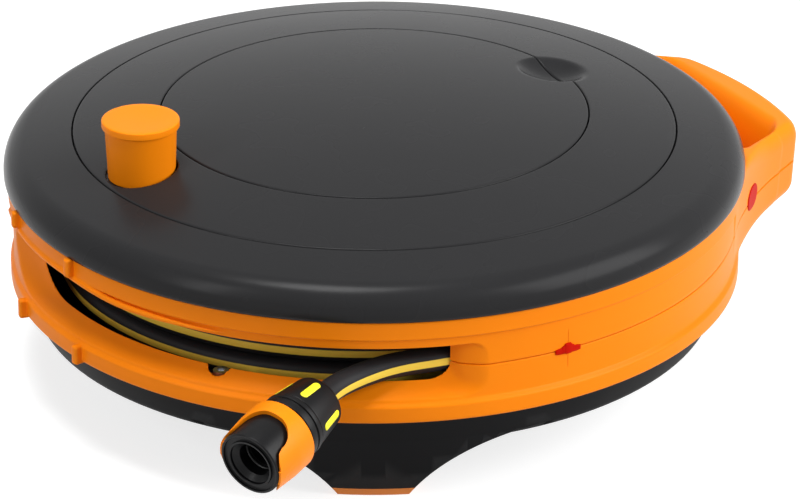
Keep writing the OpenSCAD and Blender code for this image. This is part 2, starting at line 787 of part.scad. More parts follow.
module drum_lower() {
    rib_t = 2.4;
    rib_h = 8;
    post_r = 4.8;
    post_h = 24;
    color(black) difference() {
        union() {
            rotate_extrude($fn = fine) polygon([
                [bush_r, drum_z], [flange_r, drum_z], [flange_r, drum_z + drum_t],
                [barrel_r, drum_z + drum_t], [barrel_r, drum_top_z], [barrel_in_r, drum_top_z],
                [barrel_in_r, drum_z + drum_t], [hub_r, drum_z + drum_t],
                [hub_r, hub_top_z], [bush_r, hub_top_z]]);
            for (angle = [0:60:359]) rotate([0, 0, angle])
                translate([hub_r - 1, -rib_t / 2, drum_z + drum_t / 2])
                    cube([barrel_in_r - hub_r + 2, rib_t, rib_h]);
            for (angle = drum_screws_at) at_polar(angle, drum_screw_r, drum_top_z - post_h)
                cylinder(r = post_r, h = post_h - 0.4, $fn = 40);
        }
        for (angle = drum_screws_at) at_polar(angle, drum_screw_r, drum_top_z - 16)
            cylinder(r = screw_shank_r, h = 20, $fn = 32);
        rotate([0, 0, tail_turn]) translate([barrel_in_r - 5, 0, tail_z]) rotate([0, 90, 0])
            cylinder(r = hose_d / 2 + slack, h = 20);
    }
}

module drum_upper() {
    color(black) difference() {
        union() {
            ring(flange_r, bowl_r + 4, drum_top_z, drum_top_z + drum_t);
            for (angle = crank_screws_at) at_polar(angle, crank_screw_r, drum_top_z)
                cylinder(r = 4.4, h = ledge_z - ledge_t - drum_top_z, $fn = 40);
        }
        for (angle = drum_screws_at) at_polar(angle, drum_screw_r, drum_top_z - cut)
            cylinder(r = screw_shank_r + 0.2, h = 8, $fn = 32);
        for (angle = crank_screws_at) at_polar(angle, crank_screw_r, ledge_z - ledge_t - 12)
            cylinder(r = screw_shank_r, h = 20, $fn = 32);
        translate([0, 0, drum_top_z - cut]) cylinder(r = bowl_r + slack, h = 40);
    }
}

module drum_screws() {
    color(steel) for (angle = drum_screws_at) at_polar(angle, drum_screw_r, drum_top_z + drum_t - 16)
        screw(screw_shank_r - 0.05, 16, screw_head_r, screw_head_h);
}

// Swivel cap that turns with the drum and feeds the inner end of the hose
module outlet_elbow() {
    color(black) difference() {
        union() {
            translate([0, 0, hub_top_z]) cylinder(r = 17.5, h = elbow_z - hub_top_z + elbow_t);
            rotate([0, 0, tail_turn]) translate([0, 0, tail_z]) rotate([0, 90, 0]) {
                cylinder(r = 6.5, h = 24);
                cylinder(r = 4.2, h = 42);
                for (s = [28, 32, 36]) translate([0, 0, s]) cylinder(r1 = 4.75, r2 = 4.2, h = 3);
            }
        }
        translate([0, 0, hub_top_z - cut]) cylinder(r = spindle_r + running, h = elbow_z - hub_top_z + cut);
        translate([0, 0, hub_top_z - cut]) cylinder(r = bush_r - 0.5, h = 4);
        rotate([0, 0, tail_turn]) translate([0, 0, tail_z]) rotate([0, 90, 0])
            cylinder(r = tail_bore_r, h = 50);
    }
}

module hose_tail() {
    color(black) rotate([0, 0, tail_turn]) translate([0, 0, tail_z]) rotate([0, 90, 0])
        ring(hose_d / 2, 4.75, 24.2, barrel_r + 0.1);
}

module hose_clamp() {
    color(steel) rotate([0, 0, tail_turn]) translate([0, 0, tail_z]) rotate([0, 90, 0]) {
        ring(hose_d / 2 + 1, hose_d / 2, 29, 38);
        translate([hose_d / 2 + 0.6, -2.5, 31]) cube([4.4, 5, 5]);
    }
}

// The inner layers of the hose as one plain core, which the outer layer covers
module hose_pack() {
    color(rubber) ring(pack_r, barrel_r + slack, drum_z + drum_t + slack, drum_top_z - slack);
}

// Centre line of the outer layer. One more ring runs straight on at each end.
function turn_point(i) =
    let (last = (turns - 1) * turn_rings, t = min(max(i, 0), last), a = turn_from + 360 * t / turn_rings,
        z = first_turn_z + turn_step * t / turn_rings, run = i < 0 ? -hose_d : i > last ? hose_d : 0)
    [turn_r * cos(a) - run * sin(a), turn_r * sin(a) + run * cos(a), z];

function turn_angle(i) =
    turn_from + 360 * min(max(i, 0), (turns - 1) * turn_rings) / turn_rings;

winding_points = [for (i = [-1:(turns - 1) * turn_rings + 1]) turn_point(i)];
winding_rings = [for (i = [-1:(turns - 1) * turn_rings + 1]) let (p = turn_point(i), a = turn_angle(i))
    [for (k = [0:turn_sides - 1]) let (b = 360 * k / turn_sides, out = hose_d / 2 * cos(b))
        [p[0] + out * cos(a), p[1] + out * sin(a), p[2] + hose_d / 2 * sin(b)]]];

// Least distance between points of one turn and the turn above it, less a diameter
winding_gap = min([for (i = [0:len(winding_points) - 1]) for (j = [i + turn_rings - 2:1:i + turn_rings + 2])
    if (j < len(winding_points)) norm(winding_points[i] - winding_points[j])]) - hose_d;

module hose_winding() {
    echo(winding_gap_mm = winding_gap);
    color(rubber) skin(winding_rings, turn_sides);
}

// Closed tube through rings of points, with triangles all over
module skin(rings, sides) {
    n = len(rings);
    points = [for (r = rings) for (p = r) p];
    side_faces = [for (i = [0:n - 2]) for (k = [0:sides - 1]) let (m = (k + 1) % sides)
        each [[i * sides + k, (i + 1) * sides + k, i * sides + m],
            [i * sides + m, (i + 1) * sides + k, (i + 1) * sides + m]]];
    first_cap = [for (k = [1:sides - 2]) [0, k, k + 1]];
    last_cap = [for (k = [1:sides - 2]) [(n - 1) * sides, (n - 1) * sides + k + 1, (n - 1) * sides + k]];
    polyhedron(points = points, faces = concat(side_faces, first_cap, last_cap));
}

// Unit direction of the lead at a point of its route
function lead_dir(i) =
    let (a = lead_route[max(i - 1, 0)], b = lead_route[min(i + 1, len(lead_route) - 1)])
    (b - a) / norm(b - a);

lead_rings = [for (i = [0:len(lead_route) - 1])
    let (d = lead_dir(i), side = cross(d, [0, 0, 1]) / norm(cross(d, [0, 0, 1])), up = cross(side, d))
    [for (k = [0:lead_sides - 1]) let (b = 360 * k / lead_sides)
        lead_route[i] + hose_d / 2 * (cos(b) * side + sin(b) * up)]];

module hose_lead() {
    color(rubber) skin(lead_rings, lead_sides);
}

module crank_disc() {
    post_r = 9.5;
    post_h = 14;
    skirt_h = 8;
    inner_r = lid_seam_r + crank_gap;
    outer_r = crank_seam_r - crank_gap;
    pocket_r = knob_body_r + 0.5;
    color(black) difference() {
        union() {
            difference() {
                union() {
                    dome_shell(inner_r - 2, outer_r, wall);
                    hung_ring(inner_r - 2, inner_r + wall, ledge_z - ledge_t + cut);
                    dish_floor(ledge_z - ledge_t + cut);
                }
                cylinder(r = inner_r, h = dome_z + cut, $fn = fine);
            }
            ring(inner_r + wall, bowl_r + slack, ledge_z - ledge_t, ledge_z);
            hung_ring(outer_r - wall, outer_r - 0.1, dome_height(outer_r) - skirt_h);
            intersection() {
                translate([-knob_at, 0, knob_seat_z - wall]) cylinder(r = pocket_r + wall, h = 40);
                dome_ring(inner_r + 1, outer_r - 1, knob_seat_z - wall);
            }
            translate([-knob_at, 0, knob_seat_z - post_h]) cylinder(r = post_r, h = post_h);
        }
        translate([-knob_at, 0, knob_seat_z]) cylinder(r = pocket_r, h = 30);
        translate([-knob_at, 0, knob_seat_z - 20]) cylinder(r = stem_r + running, h = 40);
        dish_ball();
        for (angle = crank_screws_at) at_polar(angle, crank_screw_r, ledge_z - ledge_t - cut)
            cylinder(r = screw_shank_r + 0.2, h = 10, $fn = 32);
        for (angle = crank_screws_at) at_polar(angle, crank_screw_r, ledge_z - screw_head_h + 0.8)
            cylinder(r = screw_head_r + 0.2, h = 10, $fn = 40);
    }
}

module crank_screws() {
    color(steel) for (angle = crank_screws_at)
        at_polar(angle, crank_screw_r, ledge_z - screw_head_h + 0.8 - 12)
            screw(screw_shank_r - 0.05, 12, screw_head_r, screw_head_h - 0.9);
}

// Storage bowl that hangs in the middle of the drum by its rim
module compartment_bowl() {
    color(black) {
        rotate_extrude($fn = fine) difference() {
            union() {
                translate([0, bowl_floor_z]) square([bowl_r - 8, 2.2]);
                translate([bowl_r - 8, bowl_floor_z]) intersection() {
                    translate([0, 8]) difference() {
                        circle(r = 8);
                        circle(r = 5.8);
                    }
                    square([8, 8]);
                }
                translate([bowl_r - 2.2, bowl_floor_z + 8])
                    square([2.2, ledge_z + bowl_rim_t - bowl_floor_z - 8]);
                translate([bowl_r - 2.2, ledge_z]) square([3.6, bowl_rim_t]);
            }
            translate([-10, 0]) square([10, dome_z]);
        }
    }
}

module accessory_lid() {
    edge_r = lid_seam_r - crank_gap;
    color(black) difference() {
        intersection() {
            union() {
                dome_shell(0, edge_r + 2, lid_t);
                hung_ring(bowl_r + 1.7, bowl_r + 3.3, ledge_z);
                hung_ring(bowl_r - 5, bowl_r - 2.8, ledge_z - 4);
                dish_floor(ledge_z + bowl_rim_t + slack);
            }
            cylinder(r = edge_r, h = dome_z + cut, $fn = fine);
        }
        dish_ball();
    }
}

module knob() {
    lip_h = 4;
    base_r = knob_body_r - 0.8;
    base_z = knob_seat_z + slack;
    cup_z = knob_top_z - 3.4;
    crown = 1;
    color(orange) translate([-knob_at, 0, 0]) difference() {
        union() {
            rotate_extrude() polygon(concat(
                [[0, base_z], [base_r, base_z], [knob_body_r, knob_top_z - lip_h - 1]],
                arc(knob_lip_r - 1, knob_top_z - lip_h + 1, 1, -70, 0, 4),
                arc(knob_lip_r - 1.2, knob_top_z - crown - 1.2, 1.2, 0, 75, 5),
                [for (i = [1:6]) let (r = (knob_lip_r - 1.2) * (1 - i / 6))
                    [r, knob_top_z - crown * pow(r / knob_lip_r, 2)]]));
            translate([0, 0, knob_seat_z - 14.4]) cylinder(r = stem_r, h = 16);
        }
        ring(base_r - 2.6, stem_r + 2.4, knob_seat_z - cut, cup_z);
        translate([0, 0, knob_seat_z - 15]) cylinder(r = 1.6, h = 22, $fn = 32);
    }
}

module knob_washer() {
    color(steel) translate([-knob_at, 0, 0]) ring(stem_r + 2.6, 2.1, knob_seat_z - 15.7, knob_seat_z - 14.5);
}

module knob_screw() {
    color(steel) translate([-knob_at, 0, knob_seat_z - 3.8]) rotate([180, 0, 0]) screw(1.55, 12, 3.4, 2.2);
}

// Puts what is drawn along +Z on the connector's axis, from the face backwards
module on_connector() {
    translate(connector_face) rotate([0, connector_tilt, connector_turn]) children();
}

// Socket, black front sleeve and the spigot for the hose, with a groove for the collar's spring
module connector_body() {
    color(black) on_connector() difference() {
        union() {
            rotate_extrude() difference() {
                union() {
                    square([sleeve_r, groove_end_s + 2]);
                    translate([0, groove_end_s]) square([ring_r, nut_front - groove_end_s - 0.3]);
                }
                translate([groove_r, groove_s]) square([10, groove_end_s - groove_s]);
                translate([ring_r - 0.4, nut_front - 4]) square([4, 1]);
            }
            translate([0, 0, nut_front - cut]) cylinder(r = 12.4, h = 8);
            translate([0, 0, nut_front]) cylinder(r = 4.3, h = spigot_l);
        }
        translate([0, 0, -cut]) cylinder(r = sleeve_bore_r, h = socket_l + cut);
        translate([0, 0, -0.01]) cylinder(r1 = 11.6, r2 = sleeve_bore_r, h = 4);
        translate([0, 0, socket_seal_s - 1.25]) ring(sleeve_bore_r + 2.2, sleeve_bore_r - cut, 0, 2.5);
        translate([0, 0, -cut]) cylinder(r = 3.1, h = connector_l + 5);
        ring(sleeve_r - 1.4, 12.6, -cut, 1.2);
    }
}

module connector_seal() {
    color(rubber) on_connector() translate([0, 0, socket_seal_s]) rotate_extrude()
        translate([sleeve_bore_r + 1, 0]) circle(r = 1.15, $fn = 32);
}

// Split claws that the nut closes on the hose
module connector_collet() {
    color(black) on_connector() difference() {
        ring(nut_rear_r - 2.9, hose_d / 2 + 0.15, nut_front + 8.4, nut_front + 18);
        for (angle = [0:60:179]) rotate([0, 0, angle]) translate([-20, -0.6, nut_front + 12])
            cube([40, 1.2, 8]);
    }
}

module connector_nut() {
    color(black) on_connector() difference() {
        union() {
            rotate_extrude() difference() {
                polygon(concat([[0, nut_front], [nut_front_r - 0.6, nut_front],
                    [nut_front_r, nut_front + 0.8], [nut_rear_r + 0.5, connector_l - 2.5]],
                    arc(nut_rear_r - 1.9, connector_l - 2.4, 2.4, 10, 90, 4), [[0, connector_l]]));
                translate([0, nut_front - cut]) square([12.6, 8 + cut]);
                translate([0, nut_front]) square([nut_rear_r - 2.7, 18.4]);
                square([hose_d / 2 + 0.2, connector_l + cut]);
            }
        }
        for (k = [0:grip_count - 1]) rotate([0, 0, grip_from + 360 * k / grip_count]) grip(0.05);
    }
}

// One long soft inlay, lying along the taper of the nut
module grip(gap) {
    mid_r = (nut_front_r + nut_rear_r) / 2;
    half = (grip_l - grip_w) / 2;
    translate([mid_r - 1.2, 0, grip_mid]) rotate([0, 90 - grip_slope, 0])
    linear_extrude(gap > 0 ? 6 : grip_t) {
        for (end = [-half, half]) translate([end, 0]) circle(r = grip_w / 2 + gap, $fn = 32);
        translate([-half, -grip_w / 2 - gap]) square([2 * half, grip_w + 2 * gap]);
    }
}

module nut_grips() {
    color(yellow) on_connector() for (k = [0:grip_count - 1])
        rotate([0, 0, grip_from + 360 * k / grip_count]) grip(0);
}

// Sliding collar with two wings that run forward along the sleeve. A rib inside it takes the spring, and
// its rear end slides over the ring behind the sleeve.
module release_collar() {
    hollow_r = 13;
    round_r = 1.2;
    rib_s = groove_s + 0.3;
    color(orange) on_connector() difference() {
        rotate_extrude() difference() {
            union() {
                translate([0, 0.6]) square([collar_r - round_r, collar_rear - 1.2]);
                translate([0, 0.6 + round_r]) square([collar_r, collar_rear - 1.2 - 2 * round_r]);
                for (s = [0.6 + round_r, collar_rear - 0.6 - round_r]) translate([collar_r - round_r, s])
                    circle(r = round_r, $fn = 32);
            }
            translate([0, -cut]) square([sleeve_r + 0.12, rib_s + cut]);
            translate([0, rib_s - cut]) square([groove_r + 0.3, connector_l]);
            translate([0, rib_s + 1.2]) square([sleeve_r + 0.12, connector_l]);
            translate([0, collar_rear - 4.6]) square([ring_r + 0.3, connector_l]);
        }
        for (side = [0, 180]) rotate([0, 0, wing_from + side]) {
            translate([0, 0, collar_front - hollow_r - 2]) rotate([0, 90, 0])
                cylinder(r = hollow_r + 2, h = 2 * collar_r);
            translate([0, -hollow_r - 2, -cut])
                cube([2 * collar_r, 2 * hollow_r + 4, collar_front - hollow_r - 2 + cut]);
        }
    }
}

// Spring in the groove, which pushes the collar forward
module collar_spring() {
    rings_per_turn = 20;
    wire_r = spring_wire / 2;
    mid_r = groove_r + wire_r + 0.25;
    from = groove_s + 1.5 + wire_r + 0.1;
    to = groove_end_s - wire_r - 0.1;
    steps = spring_turns * rings_per_turn;
    rings = [for (i = [0:steps]) let (a = 360 * i / rings_per_turn, s = from + (to - from) * i / steps)
        [for (k = [0:5]) let (b = 60 * k, r = mid_r + wire_r * cos(b))
            [r * cos(a), r * sin(a), s + wire_r * sin(b)]]];
    color(steel) on_connector() skin(rings, 6);
}

base_shell();
foot_pads();
lower_casing();
upper_casing();
side_clips();
handle_clips();
casing_screws();
cover_rim();
cover_screws();
inlet_elbow();
inlet_screws();
inlet_seal();
thrust_washer();
spindle_seals();
spindle_clip();
drum_lower();
drum_upper();
drum_bush();
drum_screws();
outlet_elbow();
hose_tail();
hose_clamp();
hose_pack();
hose_winding();
crank_disc();
crank_screws();
compartment_bowl();
accessory_lid();
knob();
knob_washer();
knob_screw();
hose_lead();
connector_body();
connector_seal();
connector_collet();
connector_nut();
nut_grips();
collar_spring();
release_collar();
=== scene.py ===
import functools
import math

import bmesh
import bpy
import numpy as np
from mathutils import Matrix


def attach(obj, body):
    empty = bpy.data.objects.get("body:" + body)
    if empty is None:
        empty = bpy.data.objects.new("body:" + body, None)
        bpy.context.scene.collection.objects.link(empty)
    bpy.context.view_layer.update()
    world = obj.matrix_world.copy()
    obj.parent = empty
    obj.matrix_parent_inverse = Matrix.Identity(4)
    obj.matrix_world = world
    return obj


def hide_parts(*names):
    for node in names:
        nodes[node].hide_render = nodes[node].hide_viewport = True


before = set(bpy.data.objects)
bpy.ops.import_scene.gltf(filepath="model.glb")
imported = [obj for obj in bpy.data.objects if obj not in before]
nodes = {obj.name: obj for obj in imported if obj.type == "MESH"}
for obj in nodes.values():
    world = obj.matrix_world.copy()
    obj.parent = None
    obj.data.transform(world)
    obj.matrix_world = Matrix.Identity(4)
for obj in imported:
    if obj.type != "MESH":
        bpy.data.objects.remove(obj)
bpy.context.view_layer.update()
MM = 0.001

# The view and the light. The camera stands far off at 25 degrees above the floor, beside the hose slot,
# with a long lens. A large soft lamp hangs at the front right, a smaller one above, and a narrow one at the
# left.
WHITE = (1.0, 1.0, 1.0, 1.0)


def in_scene(name, data):
    """A new object of some data, linked into the scene."""
    made = bpy.data.objects.new(name, data)
    bpy.context.collection.objects.link(made)
    return made


camera_data = bpy.data.cameras.new("view")
camera_data.sensor_width = 36.0
camera_data.lens = 205.7
camera_data.shift_y = 0.0016
camera = in_scene("view", camera_data)
camera.location = (-1.0911, -1.9167, 1.0853)
camera.rotation_euler = (math.radians(65.05), 0.0, math.radians(-30.0))
bpy.context.scene.camera = camera
bpy.context.scene.view_settings.view_transform = "Standard"


def soft_lamp(name, place, aim, width, length, power):
    """A rectangular area lamp that shines from its place to where it aims."""
    data = bpy.data.lights.new(name, "AREA")
    data.shape = "RECTANGLE"
    data.size = width
    data.size_y = length
    data.energy = power
    lamp = in_scene(name, data)
    lamp.location = place
    away = np.array(place) - np.array(aim)
    flat = math.hypot(away[0], away[1])
    lamp.rotation_euler = (math.atan2(flat, away[2]), 0.0, math.atan2(away[0], -away[1]))


soft_lamp("front_softbox", (1.4, -1.67, 1.2), (0.0, 0.0, 0.08), width=1.9, length=1.7, power=66.0)
soft_lamp("top_softbox", (-0.4, -0.15, 2.0), (0.0, 0.0, 0.1), width=0.7, length=0.7, power=29.0)
soft_lamp("left_strip", (-1.9, -0.3, 1.0), (-0.1, 0.0, 0.1), width=0.3, length=1.3, power=11.0)


def add_node(tree, kind, inputs=(), **settings):
    """A new node with its settings. Of its inputs, sockets are linked to it and plain values are set."""
    node = tree.nodes.new(kind)
    for key, value in settings.items():
        setattr(node, key, value)
    for key, value in dict(inputs).items():
        if isinstance(value, bpy.types.NodeSocket):
            tree.links.new(value, node.inputs[key])
        else:
            node.inputs[key].default_value = value
    return node


def seen_rays(tree):
    """Rays that see the white room: from the camera, off a gloss, or through something clear."""
    ray = add_node(tree, "ShaderNodeLightPath").outputs
    either = add_node(tree, "ShaderNodeMath", {0: ray["Is Camera Ray"], 1: ray["Is Glossy Ray"]},
                      operation="MAXIMUM")
    every = add_node(tree, "ShaderNodeMath", {0: either.outputs["Value"], 1: ray["Is Transmission Ray"]},
                     operation="MAXIMUM")
    return every.outputs["Value"]


world = bpy.data.worlds.new("white_room")
bpy.context.scene.world = world
world.use_nodes = True
room = world.node_tree
room.nodes.clear()
room_light = add_node(room, "ShaderNodeBackground", {"Color": WHITE, "Strength": 0.17})
room_seen = add_node(room, "ShaderNodeBackground", {"Color": WHITE, "Strength": 1.0})
room_mix = add_node(room, "ShaderNodeMixShader", {
    "Fac": seen_rays(room), 1: room_light.outputs["Background"], 2: room_seen.outputs["Background"]})
add_node(room, "ShaderNodeOutputWorld", {"Surface": room_mix.outputs["Shader"]})


def new_material(name):
    """A material with an empty node tree."""
    made = bpy.data.materials.new(name)
    made.use_nodes = True
    made.node_tree.nodes.clear()
    return made


FLOOR_HALF, FLOOR_Z = 6.0, -0.0004
floor_mesh = bpy.data.meshes.new("floor")
floor_corners = [(x * FLOOR_HALF, y * FLOOR_HALF, FLOOR_Z) for x, y in ((-1, -1), (1, -1), (1, 1), (-1, 1))]
floor_mesh.from_pydata(floor_corners, [], [(0, 1, 2, 3)])
floor = in_scene("floor", floor_mesh)
paper = new_material("white_paper")
paper_tree = paper.node_tree
paper_matt = add_node(paper_tree, "ShaderNodeBsdfDiffuse", {"Color": (0.5, 0.5, 0.5, 1.0)})
paper_glow = add_node(paper_tree, "ShaderNodeEmission", {"Color": WHITE, "Strength": 0.74})
paper_none = add_node(paper_tree, "ShaderNodeEmission", {"Strength": 0.0})
paper_pick = add_node(paper_tree, "ShaderNodeMixShader", {
    "Fac": seen_rays(paper_tree), 1: paper_none.outputs["Emission"], 2: paper_glow.outputs["Emission"]})
paper_add = add_node(paper_tree, "ShaderNodeAddShader", {
    0: paper_matt.outputs["BSDF"], 1: paper_pick.outputs["Shader"]})
add_node(paper_tree, "ShaderNodeOutputMaterial", {"Surface": paper_add.outputs["Shader"]})
floor_mesh.materials.append(paper)

# The free end of the hose: 12.5 mm black rubber hose with two flat yellow stripes laid along it. It leaves
# the outer turn on the drum, runs out of the slot's right end and bends down into the nut of the connector.
HOSE_R = 6.25
STRIPE_HALF, STRIPE_BLUR = 17.5, 1.0
lead_route = [
    (48.4, -167.6, 80.6), (30.3, -171.8, 80.6), (11, -174.1, 80.6), (-10, -174.2, 80.6),
    (-30, -172, 80.6), (-46, -168.7, 80.6), (-54, -166.6, 80.7), (-62, -165.2, 80.8), (-70, -163.4, 80.8),
    (-78, -161.8, 80.7), (-86.5, -160.7, 80.3), (-94.5, -160.4, 79.7), (-102.5, -160.7, 79),
    (-111, -162, 78.3), (-119, -164.4, 77.4), (-126.3, -167.9, 76.2), (-134.2, -171.6, 74.6),
]


def new_group(name, kind, takes, gives):
    """A node group with its inputs and outputs, each given as (name, kind of socket, value or None)."""
    group = bpy.data.node_groups.new(name, kind)
    for way, sockets in (("INPUT", takes), ("OUTPUT", gives)):
        for title, socket_kind, value in sockets:
            socket = group.interface.new_socket(title, in_out=way, socket_type="NodeSocket" + socket_kind)
            if value is not None:
                socket.default_value = value
    return group, group.nodes.new("NodeGroupInput"), group.nodes.new("NodeGroupOutput")


def grain_group():
    """Spark-eroded grain of a moulding: fine pits for the bump, and broad clouds for tone and gloss."""
    group, enter, leave = new_group(
        "moulded_grain", "ShaderNodeTree",
        [("Pit Size mm", "Float", 0.4), ("Cloud Size mm", "Float", 40.0)],
        [("Pits", "Float", None), ("Clouds", "Float", None)])
    place = add_node(group, "ShaderNodeTexCoord")
    for size, out, detail, rough in (("Pit Size mm", "Pits", 3.0, 0.6),
                                     ("Cloud Size mm", "Clouds", 2.0, 0.5)):
        scale = add_node(group, "ShaderNodeMath", {0: 1000.0, 1: enter.outputs[size]}, operation="DIVIDE")
        noise = add_node(group, "ShaderNodeTexNoise", {
            "Detail": detail, "Roughness": rough, "Vector": place.outputs["Object"],
            "Scale": scale.outputs["Value"]})
        group.links.new(noise.outputs["Fac"], leave.inputs[out])
    return group


def painted_highlight_group():
    """Painted edge highlight: a mask that rises on sharp outer edges and is broken up by a fine noise, to
    lighten the colour there.
    """
    group, enter, leave = new_group("painted_edge_highlight", "ShaderNodeTree", [("Reach", "Float", 0.06)],
                                    [("Mask", "Float", None)])
    sharp_from = 0.52
    shape = add_node(group, "ShaderNodeNewGeometry")
    top = add_node(group, "ShaderNodeMath", {0: sharp_from, 1: enter.outputs["Reach"]}, operation="ADD")
    edge = add_node(group, "ShaderNodeMapRange", {
        "From Min": sharp_from, "From Max": top.outputs["Value"], "Value": shape.outputs["Pointiness"]})
    place = add_node(group, "ShaderNodeTexCoord")
    noise = add_node(group, "ShaderNodeTexNoise", {
        "Scale": 180.0, "Detail": 3.0, "Vector": place.outputs["Object"]})
    broken = add_node(group, "ShaderNodeMath", {0: edge.outputs["Result"], 1: noise.outputs["Fac"]},
                      operation="MULTIPLY")
    group.links.new(broken.outputs["Value"], leave.inputs["Mask"])
    return group


moulded_grain = grain_group()
painted_edge_highlight = painted_highlight_group()


def plastic(name, colour, gloss, pit=0.35, bump=0.05, cloud=0.05, edge_highlight=0.0, metal=0.0, level=0.5):
    """A moulded finish. colour is linear, gloss the shader's roughness, and bump the depth of the grain."""
    made = new_material(name)
    tree = made.node_tree
    grain = add_node(tree, "ShaderNodeGroup", {"Pit Size mm": pit}, node_tree=moulded_grain)
    darker, lighter = [[min(1.0, c * (1.0 + change)) for c in colour] for change in (-cloud, cloud)]
    tone = add_node(tree, "ShaderNodeMix", {
        "A": (*darker, 1.0), "B": (*lighter, 1.0), "Factor": grain.outputs["Clouds"]}, data_type="RGBA")
    base = tone.outputs["Result"]
    # Painted highlight: sharp outer edges are lightened, standing in for light caught on the edges.
    if edge_highlight:
        edge_mask = add_node(tree, "ShaderNodeGroup", node_tree=painted_edge_highlight)
        share = add_node(tree, "ShaderNodeMath", {0: edge_mask.outputs["Mask"], 1: edge_highlight}, operation="MULTIPLY")
        edge_lit = add_node(tree, "ShaderNodeMix", {
            "A": base, "B": (*[min(1.0, c * 1.6 + 0.01) for c in colour], 1.0),
            "Factor": share.outputs["Value"]}, data_type="RGBA")
        base = edge_lit.outputs["Result"]
    shine = add_node(tree, "ShaderNodeMapRange", {
        "Value": grain.outputs["Clouds"], "To Min": gloss * 0.9, "To Max": gloss * 1.1})
    bumps = add_node(tree, "ShaderNodeBump", {
        "Strength": bump, "Distance": 0.0002, "Height": grain.outputs["Pits"]})
    shader = add_node(tree, "ShaderNodeBsdfPrincipled", {
        "Metallic": metal, "Specular IOR Level": level, "Base Color": base,
        "Roughness": shine.outputs["Result"], "Normal": bumps.outputs["Normal"]}, name="surface")
    add_node(tree, "ShaderNodeOutputMaterial", {"Surface": shader.outputs["BSDF"]})
    return made


def striped_rubber():
    """Black hose rubber with yellow stripes where the piece's own attribute says so."""
    made = plastic("hose_rubber", (0.012, 0.012, 0.013), 0.5, pit=0.5, bump=0.12, cloud=0.1, level=0.15)
    tree = made.node_tree
    base = tree.nodes["surface"].inputs["Base Color"]
    facing = add_node(tree, "ShaderNodeAttribute", attribute_name="stripe")
    band = add_node(tree, "ShaderNodeMapRange", {
        "From Min": math.cos(math.radians(STRIPE_HALF + STRIPE_BLUR)),
        "From Max": math.cos(math.radians(STRIPE_HALF - STRIPE_BLUR)), "Value": facing.outputs["Fac"]})
    paint = add_node(tree, "ShaderNodeMix", {
        "A": base.links[0].from_socket, "B": (0.85, 0.60, 0.07, 1.0), "Factor": band.outputs["Result"]},
        data_type="RGBA")
    tree.links.new(paint.outputs["Result"], base)
    return made


hose_rubber = striped_rubber()


def give_result(tree, shape, enter, leave):
    """Ends a tree of geometry nodes: its copies become real mesh and take the finish that was handed in."""
    real = add_node(tree, "GeometryNodeRealizeInstances", {"Geometry": shape})
    look = add_node(tree, "GeometryNodeSetMaterial", {
        "Geometry": real.outputs["Geometry"], "Material": enter.outputs["Finish"]})
    tree.links.new(look.outputs["Geometry"], leave.inputs["Geometry"])
    return tree


def hose_tree():
    """Geometry nodes that draw a hose along a curve, with a mask for the stripes on its two sides."""
    tree, enter, leave = new_group(
        "hose_along_path", "GeometryNodeTree",
        [("Geometry", "Geometry", None), ("Radius", "Float", 0.00625), ("Step", "Float", 0.003),
         ("Sides", "Int", 40), ("Turn", "Float", 0.0), ("End Turn", "Float", 0.0),
         ("Finish", "Material", None)],
        [("Geometry", "Geometry", None)])
    given = enter.outputs
    steps = add_node(tree, "GeometryNodeResampleCurve", mode="LENGTH")
    tree.links.new(given["Geometry"], steps.inputs["Curve"])
    tree.links.new(given["Step"], steps.inputs["Length"])
    upright = add_node(tree, "GeometryNodeSetCurveNormal", {"Curve": steps.outputs["Curve"]}, mode="Z_UP")
    along = add_node(tree, "GeometryNodeSplineParameter")
    turned_by = add_node(tree, "ShaderNodeMix", {
        "Factor": along.outputs["Factor"], "A": given["Turn"], "B": given["End Turn"]})
    twist = add_node(tree, "GeometryNodeSetCurveTilt", {
        "Curve": upright.outputs["Curve"], "Tilt": turned_by.outputs["Result"]})
    ring = add_node(tree, "GeometryNodeCurvePrimitiveCircle", {
        "Resolution": given["Sides"], "Radius": given["Radius"]})
    round_it = add_node(tree, "GeometryNodeSplineParameter")
    angle = add_node(tree, "ShaderNodeMath", {0: round_it.outputs["Factor"], 1: 2.0 * math.pi},
                     operation="MULTIPLY")
    facing = add_node(tree, "ShaderNodeMath", {0: angle.outputs["Value"]}, operation="COSINE")
    both = add_node(tree, "ShaderNodeMath", {0: facing.outputs["Value"]}, operation="ABSOLUTE")
    kept = add_node(tree, "GeometryNodeCaptureAttribute")
    kept.capture_items.new("FLOAT", "stripe")
    tree.links.new(ring.outputs["Curve"], kept.inputs["Geometry"])
    tree.links.new(both.outputs["Value"], kept.inputs["stripe"])
    skin = add_node(tree, "GeometryNodeCurveToMesh", {
        "Fill Caps": True, "Curve": twist.outputs["Curve"], "Profile Curve": kept.outputs["Geometry"]})
    store = add_node(tree, "GeometryNodeStoreNamedAttribute", {
        "Name": "stripe", "Geometry": skin.outputs["Mesh"], "Value": kept.outputs["stripe"]},
        data_type="FLOAT", domain="POINT")
    return give_result(tree, store.outputs["Geometry"], enter, leave)


hose_along_path = hose_tree()


def smoothed(mesh, sharp):
    """Shades a mesh smooth, with hard edges where its faces turn by more than an angle."""
    mesh.shade_smooth()
    mesh.set_sharp_from_angle(angle=math.radians(sharp))


def grown(start, tree, values):
    """Runs a node tree on an object and keeps the result as a plain mesh piece under the same name."""
    modifier = start.modifiers.new("grow", "NODES")
    modifier.node_group = tree
    for item in tree.interface.items_tree:
        if item.item_type == "SOCKET" and item.in_out == "INPUT" and item.name in values:
            modifier[item.identifier] = values[item.name]
    bpy.context.view_layer.update()
    mesh = bpy.data.meshes.new_from_object(start.evaluated_get(bpy.context.evaluated_depsgraph_get()))
    name = start.name
    old = start.data
    bpy.data.objects.remove(start)
    if isinstance(old, bpy.types.Curve):
        bpy.data.curves.remove(old)
    else:
        bpy.data.meshes.remove(old)
    mesh.name = name
    smoothed(mesh, 50)
    return in_scene(name, mesh)


